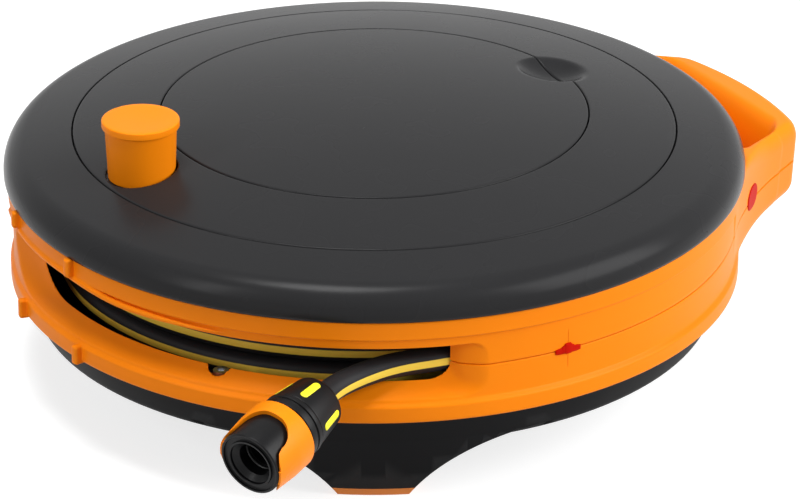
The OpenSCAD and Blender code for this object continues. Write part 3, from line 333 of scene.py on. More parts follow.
def smooth_route(points, parts):
    """Points in metres on one smooth curve through the given points in millimetres."""
    p = np.array(points, float) * MM
    ends = np.vstack([2 * p[0] - p[1], p, 2 * p[-1] - p[-2]])
    line = []
    for a, b, c, d in zip(ends, ends[1:], ends[2:], ends[3:]):
        for t in np.arange(parts) / parts:
            line.append(0.5 * (2 * b + (c - a) * t + (2 * a - 5 * b + 4 * c - d) * t ** 2
                               + (3 * b - a - 3 * c + d) * t ** 3))
    return np.array(line + [p[-1]])


def drawn_curve(name, *lines):
    """A curve object with one spline for each line of points."""
    data = bpy.data.curves.new(name, "CURVE")
    data.dimensions = "3D"
    for points in lines:
        spline = data.splines.new("POLY")
        spline.points.add(len(points) - 1)
        spline.points.foreach_set("co", np.c_[points, np.ones(len(points))].ravel())
    return in_scene(name, data)


lead_line = smooth_route(lead_route, 6)
hose_free_end = grown(drawn_curve("hose_free_end", lead_line), hose_along_path, {
    "Radius": HOSE_R * MM, "Step": 0.0022, "Sides": 48, "Turn": math.radians(25.0),
    "End Turn": math.radians(-8.0), "Finish": hose_rubber})
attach(hose_free_end, "casing")
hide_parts("hose_lead")

# The quick connector on the hose: a black glass-filled plastic socket whose front sleeve carries a sliding
# orange collar, and a tapered black nut with five soft yellow inlays that clamps the hose.
FACE = np.array([-179.6, -193.2, 65.7])
TILT, TURN = math.radians(79.9), math.radians(25.4)
SLEEVE_R, COLLAR_R, NUT_FRONT, CONNECTOR_L = 16.8, 19.2, 37.5, 60.0
WELD, NO_AREA = 0.0005, 1e-7


def rounded(corners, steps=5):
    """A closed outline from corners (r, z, radius): each corner is turned with its radius."""
    outline = []
    count = len(corners)
    for i in range(count):
        r, z, radius = corners[i]
        here = np.array([r, z], float)
        if radius <= 0:
            outline.append(here)
            continue
        before = np.array(corners[i - 1][:2], float) - here
        after = np.array(corners[(i + 1) % count][:2], float) - here
        before /= np.linalg.norm(before)
        after /= np.linalg.norm(after)
        half = math.acos(max(-1.0, min(1.0, float(before @ after)))) / 2
        back = radius / math.tan(half)
        first, second = here + before * back, here + after * back
        centre = here + (before + after) / np.linalg.norm(before + after) * radius / math.sin(half)
        a, b = first - centre, second - centre
        sweep = math.atan2(a[0] * b[1] - a[1] * b[0], float(a @ b))
        for k in range(steps + 1):
            t = sweep * k / steps
            c, s = math.cos(t), math.sin(t)
            outline.append(centre + (a[0] * c - a[1] * s, a[0] * s + a[1] * c))
    return np.array(outline)


def turned(outline, steps):
    """Points and faces of a closed outline of (r, z) turned once round the Z axis."""
    outline = np.asarray(outline, float)
    count = len(outline)
    angle = np.arange(steps) * 2 * math.pi / steps
    points = np.stack([np.outer(np.cos(angle), outline[:, 0]), np.outer(np.sin(angle), outline[:, 0]),
                       np.tile(outline[:, 1], (steps, 1))], axis=2).reshape(-1, 3)
    i, j = np.meshgrid(np.arange(steps), np.arange(count), indexing="ij")
    i2, j2 = (i + 1) % steps, (j + 1) % count
    faces = np.stack([i * count + j, i2 * count + j, i2 * count + j2, i * count + j2], axis=2)
    return points, faces.reshape(-1, 4).tolist()


def ring_faces(rings, sides, closed=True):
    """Faces between rings of points that follow each other, and the two ends where they are closed."""
    faces = []
    for i in range(rings - 1):
        low, high = i * sides, (i + 1) * sides
        faces += [[low + k, low + (k + 1) % sides, high + (k + 1) % sides, high + k] for k in range(sides)]
    if closed:
        faces += [list(range(sides))[::-1], list(range((rings - 1) * sides, rings * sides))]
    return faces


def closed_mesh(name, points, faces, welded=False):
    """A mesh from points in millimetres with its faces outwards, and its poles welded where asked."""
    mesh = bpy.data.meshes.new(name)
    mesh.from_pydata((np.asarray(points) * MM).tolist(), [], [list(face) for face in faces])
    build = bmesh.new()
    build.from_mesh(mesh)
    if welded:
        bmesh.ops.remove_doubles(build, verts=build.verts, dist=WELD * MM)
        bmesh.ops.dissolve_degenerate(build, edges=build.edges, dist=NO_AREA)
    bmesh.ops.recalc_face_normals(build, faces=build.faces)
    build.to_mesh(mesh)
    build.free()
    return mesh


def shaped(name, points, faces, look, sharp=32.0):
    """A finished piece from points in millimetres, smooth but for its hard edges."""
    mesh = closed_mesh(name, points, faces, welded=True)
    smoothed(mesh, sharp)
    mesh.materials.append(look)
    return in_scene(name, mesh)


def about_z(turn):
    return np.array([[math.cos(turn), -math.sin(turn), 0], [math.sin(turn), math.cos(turn), 0], [0, 0, 1]])


def on_connector(points):
    """Moves points drawn along +Z onto the connector's axis, from its face backwards."""
    lean = np.array([[math.cos(TILT), 0, math.sin(TILT)], [0, 1, 0], [-math.sin(TILT), 0, math.cos(TILT)]])
    return FACE + np.asarray(points) @ (about_z(TURN) @ lean).T


def to_connector(piece):
    """Moves a piece that was drawn along +Z onto the connector's axis."""
    vertices = piece.data.vertices
    flat = np.empty(len(vertices) * 3)
    vertices.foreach_get("co", flat)
    vertices.foreach_set("co", (on_connector(flat.reshape(-1, 3) / MM) * MM).ravel())
    piece.data.update()


def carved(piece, cutter, sharp=32.0):
    """Cuts one piece with another, keeps the result as plain mesh, and removes the cutter."""
    cut = piece.modifiers.new("cut", "BOOLEAN")
    cut.operation = "DIFFERENCE"
    cut.solver = "EXACT"
    cut.object = cutter
    bpy.context.view_layer.update()
    mesh = bpy.data.meshes.new_from_object(piece.evaluated_get(bpy.context.evaluated_depsgraph_get()))
    piece.modifiers.clear()
    old = piece.data
    mesh.name = old.name
    piece.data = mesh
    bpy.data.meshes.remove(old)
    bpy.data.objects.remove(cutter)
    smoothed(mesh, sharp)


fitting_black = plastic("fitting_plastic", (0.004, 0.004, 0.0045), 0.36, pit=0.3, bump=0.08, edge_highlight=0.25,
                        level=0.15)
body_outline = rounded([
    (3.1, 46, 0), (3.1, 20.5, 0), (8.7, 20.5, 0.4), (8.7, 12.3, 0.1), (10.3, 12.3, 0.1), (10.3, 9.7, 0.1),
    (8.7, 9.7, 0.1), (8.7, 4.2, 0.6), (11.5, 1.6, 0.5), (11.5, 0.2, 0.3), (12.7, 0, 0.3), (12.7, 1.2, 0.2),
    (15.3, 1.2, 0.2), (15.4, 0, 0.3), (SLEEVE_R, 0, 0.7), (SLEEVE_R, 20.2, 0.1), (15.3, 20.2, 0.1),
    (15.3, 29.6, 0.1), (17.3, 29.6, 0.4), (17.3, 33.2, 0.2), (16.5, 33.5, 0.2), (16.5, 34.4, 0.2),
    (17.3, 34.7, 0.2), (17.3, 37.2, 0.4), (12.4, 37.2, 0.1), (12.4, 44.5, 0.3), (4.3, 44.5, 0.1),
    (4.3, 50.5, 0.3), (3.1, 50.5, 0)])
body_points, body_faces = turned(body_outline, 128)
connector_socket = shaped("connector_socket", on_connector(body_points), body_faces, fitting_black)

collar_orange = plastic("collar_plastic", (0.93, 0.245, 0.004), 0.4, pit=0.3, bump=0.05, edge_highlight=0.15,
                        level=0.12)
collar_outline = rounded([
    (16.95, 0.6, 0.25), (16.95, 20.4, 0.1), (15.6, 20.5, 0.1), (15.6, 21.7, 0.1), (16.95, 21.8, 0.1),
    (17.0, 24.1, 0.1), (17.6, 24.2, 0.1), (17.6, 28.1, 0.3), (COLLAR_R - 0.1, 28.1, 1.2), (COLLAR_R, 16, 6),
    (18.0, 0.6, 0.35)])


def wing_outline():
    """What is cut out of the collar's front on each side: a deep U between its two wings."""
    half_w, depth, corner = 13.2, 19.2, 10.5
    side = []
    for step in np.linspace(90, 0, 14):
        a = math.radians(step)
        side.append((half_w - corner + corner * math.cos(a), depth - corner + corner * math.sin(a)))
    side += [(half_w, 7.0), (half_w + 0.6, 4.0), (half_w + 2.6, 1.8), (half_w + 7.0, 0.4),
             (half_w + 12.0, -3.0)]
    return [(-x, z) for x, z in reversed(side)] + side[1:]


release_sleeve = shaped("release_sleeve", *turned(collar_outline, 144), collar_orange)
wing = wing_outline()
wing_from, wing_to, wing_angle = 4.0, 30.0, -167.7
wing_block = [(out, y, z) for out in (wing_from, wing_to) for y, z in wing]
for side in (0.0, 180.0):
    wing_points = np.array(wing_block) @ about_z(math.radians(wing_angle + side)).T
    cutter = in_scene("wing_cutter", closed_mesh("wing_cutter", wing_points, ring_faces(2, len(wing))))
    carved(release_sleeve, cutter)
to_connector(release_sleeve)

nut_outline = rounded([
    (12.6, NUT_FRONT, 0.2), (16.9, NUT_FRONT, 0.7), (14.1, 57.4, 2.2), (11.2, CONNECTOR_L, 1.2),
    (6.5, CONNECTOR_L, 0.4), (6.5, 56.0, 0.2), (10.8, 55.8, 0.2), (12.6, 45.5, 0.2)])
nut_points, nut_faces = turned(nut_outline, 128)
clamp_nut = shaped("clamp_nut", on_connector(nut_points), nut_faces, fitting_black)

inlay_yellow = plastic("inlay_rubber", (0.95, 0.88, 0.02), 0.5, pit=0.3, bump=0.05)


def inlay_shape():
    """One long inlay with round ends and a crowned top, on the taper of the nut, at local angle zero."""
    length, width, rise, around = 14.6, 4.2, 0.75, 24
    seat_r, seat_z = 15.35, 47.6
    slope = math.atan((17.0 - 13.6 - 0.5) / (CONNECTOR_L - NUT_FRONT - 3.0))
    rings = ((0.0, -1.2), (0.0, 0.35), (0.12, 0.55), (0.45, 0.7), (1.0, rise), (1.9, rise + 0.02))
    half = (length - width) / 2
    points = []
    for inset, height in rings:
        radius = width / 2 - inset
        for k in range(around):
            a = 2 * math.pi * k / around
            across = radius * math.cos(a)
            s = radius * math.sin(a) + (half if math.sin(a) > 0 else -half if math.sin(a) < 0 else 0)
            out = seat_r + height - across * across / 34.0
            points.append((out * math.cos(slope) - s * math.sin(slope), across,
                           seat_z + s * math.cos(slope) + out * math.sin(slope) * 0.02))
    return points, ring_faces(len(rings), around)


def ring_tree():
    """Geometry nodes that stand copies of a shape in a circle about the Z axis."""
    tree, enter, leave = new_group(
        "copies_in_a_ring", "GeometryNodeTree",
        [("Geometry", "Geometry", None), ("Count", "Int", 6), ("First Angle", "Float", 0.0),
         ("Finish", "Material", None)], [("Geometry", "Geometry", None)])
    given = enter.outputs
    spots = add_node(tree, "GeometryNodePoints", {"Count": given["Count"]})
    number = add_node(tree, "GeometryNodeInputIndex")
    share = add_node(tree, "ShaderNodeMath", {0: 2.0 * math.pi, 1: given["Count"]}, operation="DIVIDE")
    angle = add_node(tree, "ShaderNodeMath", {
        0: number.outputs["Index"], 1: share.outputs["Value"], 2: given["First Angle"]},
        operation="MULTIPLY_ADD")
    rotation = add_node(tree, "ShaderNodeCombineXYZ", {"Z": angle.outputs["Value"]})
    copies = add_node(tree, "GeometryNodeInstanceOnPoints", {
        "Points": spots.outputs["Points"], "Instance": given["Geometry"],
        "Rotation": rotation.outputs["Vector"]})
    return give_result(tree, copies.outputs["Instances"], enter, leave)


copies_in_a_ring = ring_tree()
grip_inlays = grown(in_scene("grip_inlays", closed_mesh("grip_inlays", *inlay_shape())), copies_in_a_ring,
                    {"Count": 5, "First Angle": math.radians(-162.7), "Finish": inlay_yellow})
to_connector(grip_inlays)

seal_rubber = plastic("seal_rubber", (0.01, 0.01, 0.01), 0.45, pit=0.4, bump=0.05)
spring_steel = plastic("screw_steel", (0.55, 0.56, 0.58), 0.3, pit=0.25, bump=0.05, metal=1.0)


def dressed(looks):
    """Gives CAD nodes that are shown as they are their materials."""
    for name, look in looks:
        nodes[name].data.materials.clear()
        nodes[name].data.materials.append(look)


dressed((("connector_seal", seal_rubber), ("connector_collet", fitting_black)))


def coil_shape(wire, middle, start, end, turns, per_turn=40, sides=10):
    """Points and faces of a closed coil of round wire about the Z axis."""
    count = turns * per_turn + 1
    at = np.arange(count)
    around = at[:, None] * 2 * math.pi / per_turn
    edge = (np.arange(sides) * 2 * math.pi / sides)[None, :]
    reach = middle + wire * np.cos(edge)
    height = start + (end - start) * at[:, None] / (count - 1) + wire * np.sin(edge)
    points = np.stack([reach * np.cos(around), reach * np.sin(around), height], axis=2).reshape(-1, 3)
    return points, ring_faces(count, sides)


# The spring behind the sleeve's rib is drawn pressed together, as it lies while the sleeve is pulled back.
coil_points, coil_faces = coil_shape(wire=0.45, middle=16.0, start=26.25, end=29.05, turns=3)
coil_mesh = closed_mesh("pressed_spring", on_connector(coil_points), coil_faces)
pressed_spring = in_scene("pressed_spring", coil_mesh)
pressed_spring.data.shade_smooth()
pressed_spring.data.materials.append(spring_steel)

for piece, body, node, finish in ((connector_socket, "casing", "connector_body", "fitting_plastic"),
                                  (clamp_nut, "casing", "connector_nut", "fitting_plastic"),
                                  (grip_inlays, "casing", "nut_grips", "inlay_rubber"),
                                  (pressed_spring, "casing", "collar_spring", "screw_steel"),
                                  (release_sleeve, "release_collar", "release_collar", "knob_plastic")):
    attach(piece, body)
    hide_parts(node)

# The casing: two half shells injection moulded in orange polypropylene, with a proud band round the foot
# and the top. The front left is open for the hose over a hollow falling lip, with a long flare on its left
# and a short ramp on its right. Both halves also carry one half of the carrying handle.
WALL_R, INNER_R, LINING_R, BAND_R, BAND_RISE = 191.0, 188.0, 189.0, 193.0, 2.0
CASING_Z, FOOT_BAND_Z, SEAM_Z, TOP_BAND_Z, TOP_Z = 54.3, 62.5, 82.0, 98.9, 110.0
SEAM_GAP, SEAM_EDGE = 0.22, 0.5
SLOT_FROM, SLOT_TO, LIP_Z, SLOT_TOP_Z = 172.5, 251.3, 72.8, 94.5
LIP_FROM_R, LIP_DEPTH, LIP_FALL, MOUTH_R, PAD_R = 182.3, 8.9, 6.6, 187.0, 181.5
RISE_END, RISE_SPAN = 200.0, 16.0
TABS = ((168.5, 101.6, 110.4), (187.9, 100.6, 110.4), (170.8, 53.6, 63.8), (189.3, 53.6, 63.8))
TOWER_RING, TOWER_R, TOWER_BORE_R, TOWER_FOOT, TOWER_TOP = 179.5, 5.6, 2.2, 64.0, 67.0
TOWER_ANGLES = (-25.0, 35.0, 95.0, 155.0, 215.0, 275.0)
NOTCH_ANGLE, NOTCH_R, NOTCH_TOP = 215.0, 6.4, 97.0
GROOVE_ANGLES, GROOVE_Z, GROOVE_HALF = (89.5, 270.5), 82.6, 10.5
ROOT_R, BOW_X, BOW_R, ARM_OUT, ARM_IN, BAR_IN_X = 194.0, 28.0, 212.0, 163.2, 157.6, 213.0
HOLLOW_X, HOLLOW_Y, HOLLOW_R, HANDLE_LEAN = 339.8, 281.1, 250.0, 0.05
UNDER_Z, UNDER_FALL = 61.4, 7.1
PER_DEGREE = 3.2


def between(v, low, high):
    """The slab of a form between two of its values."""
    return np.maximum(low - v, v - high)


def shared(*forms):
    """What several forms share, with sharp edges."""
    return functools.reduce(np.maximum, forms)


def eased(a, b, soft):
    """What two forms share, with the edge between them rounded."""
    near = np.maximum(soft - np.abs(a - b), 0.0)
    return np.maximum(a, b) + near * near / (4.0 * soft)


def merged(a, b, soft):
    """Two forms run together, with the corner between them filled."""
    return -eased(-a, -b, soft)


def round_edge(a, b, reach_a, reach_b):
    """What two forms share, with an edge rounded over its own reach on each of them."""
    p, q = a / reach_a + 1.0, b / reach_b + 1.0
    outside = np.sqrt(np.maximum(p, 0.0) ** 2 + np.maximum(q, 0.0) ** 2)
    return (outside + np.minimum(np.maximum(p, q), 0.0) - 1.0) * min(reach_a, reach_b)


def soft_step(t):
    t = np.clip(t, 0.0, 1.0)
    return t * t * (3.0 - 2.0 * t)


def from_ray(a, r, angle):
    """How far a point lies across and along a ray that leaves the axis at an angle."""
    return r * np.sin(np.radians(a - angle)), r * np.cos(np.radians(a - angle))


def handle_form(a, r, z):
    """The carrying handle: a bar on two thin arms that widen into the casing in long hollow curves."""
    x, y = r * np.cos(np.radians(a)), np.abs(r * np.sin(np.radians(a)))
    lean = HANDLE_LEAN * (SEAM_Z - z)
    side = 0.5 * x + 0.866 * y
    plan = eased(np.hypot(x - BOW_X, y) - BOW_R, side - ARM_OUT, 3.9)
    fillet = shared(HOLLOW_R - np.hypot(x - HOLLOW_X, y - HOLLOW_Y), np.abs(a) * 3.3 - 39.6 * 3.3,
                    0.866 * x - 0.5 * y - 153.7)
    plan = merged(plan, fillet, 1.0) + lean
    out = np.maximum(r - ROOT_R, 0.0)
    top = z - (TOP_Z - 5.7 * (out / 44.0) ** 0.75 * np.minimum(1.0, out / 2.0))
    past_band = np.maximum(r - BAND_R, 0.0)
    low = UNDER_Z - UNDER_FALL * np.exp(-past_band / 10.0)
    steep = 0.93 * np.exp(-past_band / 12.0)
    under = (low - z) / np.sqrt(1.0 + steep * steep)
    growth = soft_step(out / 22.0)
    reach_plan, reach_top = 2.0 + 4.0 * growth, 3.0 + 7.0 * growth
    p, q = plan / reach_plan + 1.0, top / reach_top + 1.0
    shape = np.hypot(np.maximum(p, 0), np.maximum(q, 0)) + np.minimum(np.maximum(p, q), 0) - 1.0
    shape = np.maximum(shape * reach_plan, round_edge(plan, under, 6.0, 8.0))
    bar = round_edge(BAR_IN_X - x - HANDLE_LEAN * (z - SEAM_Z), top, 13.0, 25.0)
    arms = round_edge(ARM_IN - side, top, 3.4, 6.0)
    collar = round_edge(r - ROOT_R, top, 2.4, 3.5)
    kept = merged(merged(bar, arms, 7.0), collar, 8.0)
    return shared(shape, kept, 186.0 - r, (np.abs(a) - 62.0) * 3.0)


def slot_form(a, r, z):
    """What the hose slot takes away: the opening above the lip, and the flare at each of its ends."""
    t = np.clip((r - LIP_FROM_R) / LIP_DEPTH, 0.0, 1.4)
    lip = LIP_Z - LIP_FALL * (t + 0.35 * t * (1.0 - t))
    top = SLOT_TOP_Z + 3.3 * soft_step((RISE_END - a) / RISE_SPAN)
    left = (SLOT_FROM - a) * math.radians(MOUTH_R)
    right = (a - SLOT_TO) * math.radians(MOUTH_R)
    scoop = round_edge(left - 10.0 - 26.0 * t ** 0.7, lip - z, 36.0, 25.0)
    ramp = (191.6 - 9.6 * (1.0 - np.clip(right / 23.0, 0.0, 1.0)) ** 1.5 - r) * 0.88
    right_end = merged(right, ramp, 9.0)
    box = round_edge(right - 19.5, between(z, lip, top), 8.5, 9.0)
    box = np.maximum(box, round_edge(right - 3.0 - 17.0 * t, lip - z, 13.0, 10.0))
    return eased(shared(box, scoop, z - top), right_end, 1.0)


def tab_form(a, r, z, angle, low, high):
    """One short upright tab on a band, with round outer corners."""
    across, out = from_ray(a, r, angle)
    u, v = np.abs(across) - 0.9, out - 195.6
    flat = np.hypot(np.maximum(u, 0), np.maximum(v, 0)) + np.minimum(np.maximum(u, v), 0) - 1.4
    return eased(np.maximum(flat, 190.0 - out), between(z, low, high), 1.2)


def casing_form(a, r, z):
    """Both halves of the casing as one form, before the seam parts them."""
    outer = WALL_R + BAND_RISE * (1.0 - soft_step((z - FOOT_BAND_Z) / 3.0))
    outer = outer + BAND_RISE * soft_step((z - TOP_BAND_Z) / 1.6)
    wall = eased(np.maximum(r - outer, INNER_R - r), between(z, CASING_Z, TOP_Z), 1.6)
    low_flange = np.maximum(between(r, 184.9, LINING_R), between(z, CASING_Z, 57.3))
    top_flange = np.maximum(between(r, 177.0, LINING_R), between(z, 107.0, TOP_Z))
    whole = np.minimum(np.minimum(wall, low_flange), top_flange)
    pad = shared(between(r, PAD_R, LINING_R), (69.8 - (r - PAD_R) * 0.933 - z) * 0.731,
                 (z - 96.5 - (r - PAD_R) * 0.667) * 0.832, between(a, 159.5, 264.6) * PER_DEGREE)
    whole = merged(np.minimum(whole, pad), handle_form(a, r, z), 1.5)
    ridge_rise = 3.0 * soft_step((RISE_END - a) / RISE_SPAN)
    ridge = np.hypot(r - 192.6, z - SLOT_TOP_Z - 2.6 - ridge_rise) - 1.7
    ridge = ridge + 2.2 * soft_step((a - RISE_END) / 30.0)
    whole = merged(whole, np.maximum(ridge, between(a, 161.0, 262.0) * PER_DEGREE), 0.8)
    for angle, low, high in TABS:
        whole = merged(whole, tab_form(a, r, z, angle, low, high), 0.5)
    for angle in TOWER_ANGLES:
        across, out = from_ray(a, r, angle)
        centre = np.hypot(across, out - TOWER_RING)
        rib = shared(np.abs(across) - TOWER_R, TOWER_RING - out, out - LINING_R)
        lug = np.minimum(centre - TOWER_R, rib)
        whole = np.minimum(whole, shared(lug, TOWER_BORE_R - centre, between(z, TOWER_FOOT, TOWER_TOP)))
    across, out = from_ray(a, r, NOTCH_ANGLE)
    notch = np.maximum(np.hypot(across, out - TOWER_RING) - NOTCH_R, between(z, TOWER_TOP, NOTCH_TOP))
    whole = eased(eased(whole, -slot_form(a, r, z), 0.9), -notch, 0.4)
    for angle in GROOVE_ANGLES:
        groove = np.abs(from_ray(a, r, angle)[0]) + 0.8 * (WALL_R - r) - 0.3
        far = (np.abs(a - angle) > 5.0) * 20.0
        whole = np.maximum(whole, -shared(groove, np.abs(z - GROOVE_Z) - GROOVE_HALF, 180.0 - r + far))
    return whole


def moulded(name, form, angles, radii, levels, look, sharp=40.0):
    """A closed mesh on the zero of a form of degrees, radius and height, on a grid round the Z axis."""
    values = np.broadcast_to(form(angles[:, None, None], radii[None, :, None], levels[None, None, :]),
                             (len(angles), len(radii), len(levels))).astype(np.float32)
    solid = values < 0.0
    after = np.roll(solid, -1, axis=0)
    count = np.zeros((len(angles), len(radii) - 1, len(levels) - 1), np.int8)
    for half in (solid, after):
        for j in (0, 1):
            for k in (0, 1):
                count += half[:, j:len(radii) - 1 + j, k:len(levels) - 1 + k]
    busy = (count > 0) & (count < 8)
    cells = np.argwhere(busy)
    number = np.full(busy.shape, -1, np.int64)
    number[busy] = np.arange(len(cells))
    wide = np.append(angles, angles[0] + 360.0)
    corner_values, corner_places = {}, {}
    for i in (0, 1):
        for j in (0, 1):
            for k in (0, 1):
                at = ((cells[:, 0] + i) % len(angles), cells[:, 1] + j, cells[:, 2] + k)
                corner_values[i, j, k] = values[at]
                corner_places[i, j, k] = np.stack(
                    [wide[cells[:, 0] + i], radii[at[1]], levels[at[2]]], axis=1)
    total, hits = np.zeros((len(cells), 3)), np.zeros(len(cells))
    for start in corner_values:
        for axis in range(3):
            if start[axis]:
                continue
            end = tuple(1 if n == axis else start[n] for n in range(3))
            first, second = corner_values[start], corner_values[end]
            cross = (first < 0) != (second < 0)
            part = np.where(cross, first / np.where(cross, first - second, 1.0), 0.0)[:, None]
            place = corner_places[start] + part * (corner_places[end] - corner_places[start])
            total += np.where(cross[:, None], place, 0.0)
            hits += cross
    place = total / hits[:, None]
    small, rounds, least_slope, longest_step = 0.02, 4, 0.2, 0.5
    for _ in range(rounds):
        a, r, z = place.T
        value = form(a, r, z)
        turn = small / r * 180.0 / math.pi
        slope = np.stack([form(a + turn, r, z) - form(a - turn, r, z),
                          form(a, r + small, z) - form(a, r - small, z),
                          form(a, r, z + small) - form(a, r, z - small)], axis=1) / (2.0 * small)
        step = slope * (value / np.maximum((slope ** 2).sum(axis=1), least_slope))[:, None]
        step *= np.minimum(1.0, longest_step / np.maximum(np.linalg.norm(step, axis=1), 1e-9))[:, None]
        place -= np.stack([step[:, 0] / r * 180.0 / math.pi, step[:, 1], step[:, 2]], axis=1)
    before = np.roll(number, 1, axis=0)
    edges = (
        (solid[:, 1:-1, 1:-1], after[:, 1:-1, 1:-1],
         (number[:, :-1, :-1], number[:, 1:, :-1], number[:, 1:, 1:], number[:, :-1, 1:])),
        (solid[:, :-1, 1:-1], solid[:, 1:, 1:-1],
         (before[:, :, :-1], before[:, :, 1:], number[:, :, 1:], number[:, :, :-1])),
        (solid[:, 1:-1, :-1], solid[:, 1:-1, 1:],
         (before[:, :-1], number[:, :-1], number[:, 1:], before[:, 1:])))
    faces = []
    for lower, upper, around in edges:
        for leaving in (True, False):
            pick = (lower & ~upper) if leaving else (upper & ~lower)
            ring = np.stack([part[pick] for part in around], axis=1)
            faces.append(ring if leaving else ring[:, ::-1])
    faces = np.concatenate(faces)
    turn = np.radians(place[:, 0])
    points = np.stack([place[:, 1] * np.cos(turn), place[:, 1] * np.sin(turn), place[:, 2]], axis=1)
    a, b, c, d = (points[faces[:, n]] for n in range(4))
    if (np.cross(c - a, d - b) * (a + b + c + d)).sum() < 0:
        faces = faces[:, ::-1]
    mesh = bpy.data.meshes.new(name)
    mesh.vertices.add(len(points))
    mesh.vertices.foreach_set("co", (points * MM).ravel())
    mesh.loops.add(4 * len(faces))
    mesh.loops.foreach_set("vertex_index", faces.ravel().astype(np.int32))
    mesh.polygons.add(len(faces))
    mesh.polygons.foreach_set("loop_start", np.arange(0, 4 * len(faces), 4, dtype=np.int32))
    mesh.update(calc_edges=True)
    mesh.validate()
    smoothed(mesh, sharp)
    mesh.materials.append(look)
    return in_scene(name, mesh)


def spaced(*runs):
    """Grid lines from runs of (first, last, step)."""
    lines = [np.arange(first, last - step * 0.25, step) for first, last, step in runs]
    return np.append(np.concatenate(lines), runs[-1][1])


casing_orange = plastic("casing_plastic", (0.93, 0.235, 0.003), 0.42, pit=0.35, bump=0.05, cloud=0.03,
                        edge_highlight=0.1, level=0.09)
casing_angles = spaced((-48, 46, 0.5), (46, 88, 1.3), (88, 89.2, 0.4), (89.2, 89.8, 0.06),
                       (89.8, 91, 0.4), (91, 150, 1.3), (150, 166, 0.5), (166, 192, 0.27),
                       (192, 250, 0.6), (250, 262, 0.28), (262, 270, 0.6), (270, 270.2, 0.2),
                       (270.2, 270.8, 0.06), (270.8, 272, 0.4), (272, 311, 1.3))
casing_radii = spaced((172.4, 180, 0.9), (180, 186.4, 0.7), (186.4, 198, 0.6), (198, 243, 1.4))
lower_levels = spaced((52.9, 55.4, 0.32), (55.4, 62, 1.1), (62, 68.3, 0.55), (68.3, 71.8, 0.9),
                      (71.8, 74.2, 0.4), (74.2, 81.2, 1.4), (81.2, 82.6, 0.3), (82.6, 96.4, 1.2),
                      (96.4, 98.6, 0.3))
upper_levels = spaced((81.6, 82.8, 0.3), (82.8, 93.3, 1.5), (93.3, 96, 0.42), (96, 98.6, 0.65),
                      (98.6, 101, 0.4), (101, 106.4, 0.7), (106.4, 108, 0.4), (108, 109, 0.4),
                      (109, 110.8, 0.3))


def seam_height(a):
    """The seam runs level, and steps up over the left flare, which belongs to the lower half."""
    return SEAM_Z + 16.0 * soft_step((a - 144.0) / 9.0) * soft_step((196.0 - a) / 9.0)


def lower_form(a, r, z):
    """The casing up to the seam."""
    return eased(casing_form(a, r, z), z + SEAM_GAP - seam_height(a), SEAM_EDGE)


def upper_form(a, r, z):
    """The casing from the seam up."""
    return eased(casing_form(a, r, z), seam_height(a) + SEAM_GAP - z, SEAM_EDGE)


lower_half = moulded("casing_lower_half", lower_form, casing_angles, casing_radii, lower_levels,
                     casing_orange)
upper_half = moulded("casing_upper_half", upper_form, casing_angles, casing_radii, upper_levels,
                     casing_orange)
for piece, node in ((lower_half, "lower_casing"), (upper_half, "upper_casing")):
    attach(piece, "casing")
    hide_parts(node)

# The base: a black glass-filled polypropylene bowl with three moulded feet that flare into its underside.
# Soft orange pads are pressed under the feet. The water inlet is screwed into its middle.


def fair_copy(node, name, look, body, sharp=32.0):
    """A clean copy of a CAD node: its loose triangles merged, and smooth across its curves."""
    same_point, same_plane = 2e-6, math.radians(0.3)
    mesh = nodes[node].data.copy()
    mesh.name = name
    build = bmesh.new()
    build.from_mesh(mesh)
    bmesh.ops.remove_doubles(build, verts=build.verts, dist=same_point)
    bmesh.ops.dissolve_limit(build, angle_limit=same_plane, verts=build.verts, edges=build.edges)
    build.to_mesh(mesh)
    build.free()
    mesh.materials.clear()
    mesh.materials.append(look)
    smoothed(mesh, sharp)
    piece = in_scene(name, mesh)
    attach(piece, body)
    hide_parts(node)


base_black = plastic("base_plastic", (0.0035, 0.0035, 0.004), 0.5, pit=0.4, bump=0.06, cloud=0.08, edge_highlight=0.2,
                     level=0.05)
pad_orange = plastic("foot_plastic", (0.86, 0.24, 0.015), 0.42, pit=0.5, bump=0.08, cloud=0.05, edge_highlight=0.1)
fair_copy("base_shell", "reel_base", base_black, "casing")
fair_copy("foot_pads", "foot_soles", pad_orange, "casing")
fair_copy("inlet_elbow", "water_inlet", fitting_black, "casing")

# The drum: a black plastic spool in two halves with screws between them, turning on a brass bush. The hose
# is wound on it in four layers. The outer layer's stripes face out, and it leaves the spool in the slot.
drum_black = plastic("drum_plastic", (0.010, 0.010, 0.011), 0.42, pit=0.4, bump=0.05, cloud=0.06)
fair_copy("drum_lower", "spool_lower", drum_black, "drum")
fair_copy("drum_upper", "spool_upper", drum_black, "drum")


def wound(r, low, step, turns, start, parts):
    """Points in metres on a winding of even pitch round the Z axis."""
    share = np.linspace(0.0, turns, int(turns * parts) + 1)
    turn = np.radians(start + 360.0 * share)
    return np.stack([r * np.cos(turn), r * np.sin(turn), low + step * share], axis=1) * MM


outer_line = wound(161.5, low=52.6, step=13.0, turns=4, start=195.0, parts=120)
outer_layer = grown(drawn_curve("hose_outer_layer", outer_line), hose_along_path, {
    "Radius": HOSE_R * MM, "Step": 0.0032, "Sides": 36, "Turn": 0.0, "End Turn": 0.0,
    "Finish": hose_rubber})
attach(outer_layer, "drum")
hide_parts("hose_winding")
inner_lines = [wound(layer_r, low=52.7, step=12.9, turns=4.3, start=layer_start, parts=60)
               for layer_r, layer_start in ((146.0, 40.0), (133.6, 160.0), (121.4, 290.0))]
inner_layers = grown(drawn_curve("hose_inner_layers", *inner_lines), hose_along_path, {
    "Radius": 0.00612, "Step": 0.006, "Sides": 20, "Turn": 0.0, "End Turn": 0.0, "Finish": hose_rubber})
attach(inner_layers, "drum")
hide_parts("hose_pack")

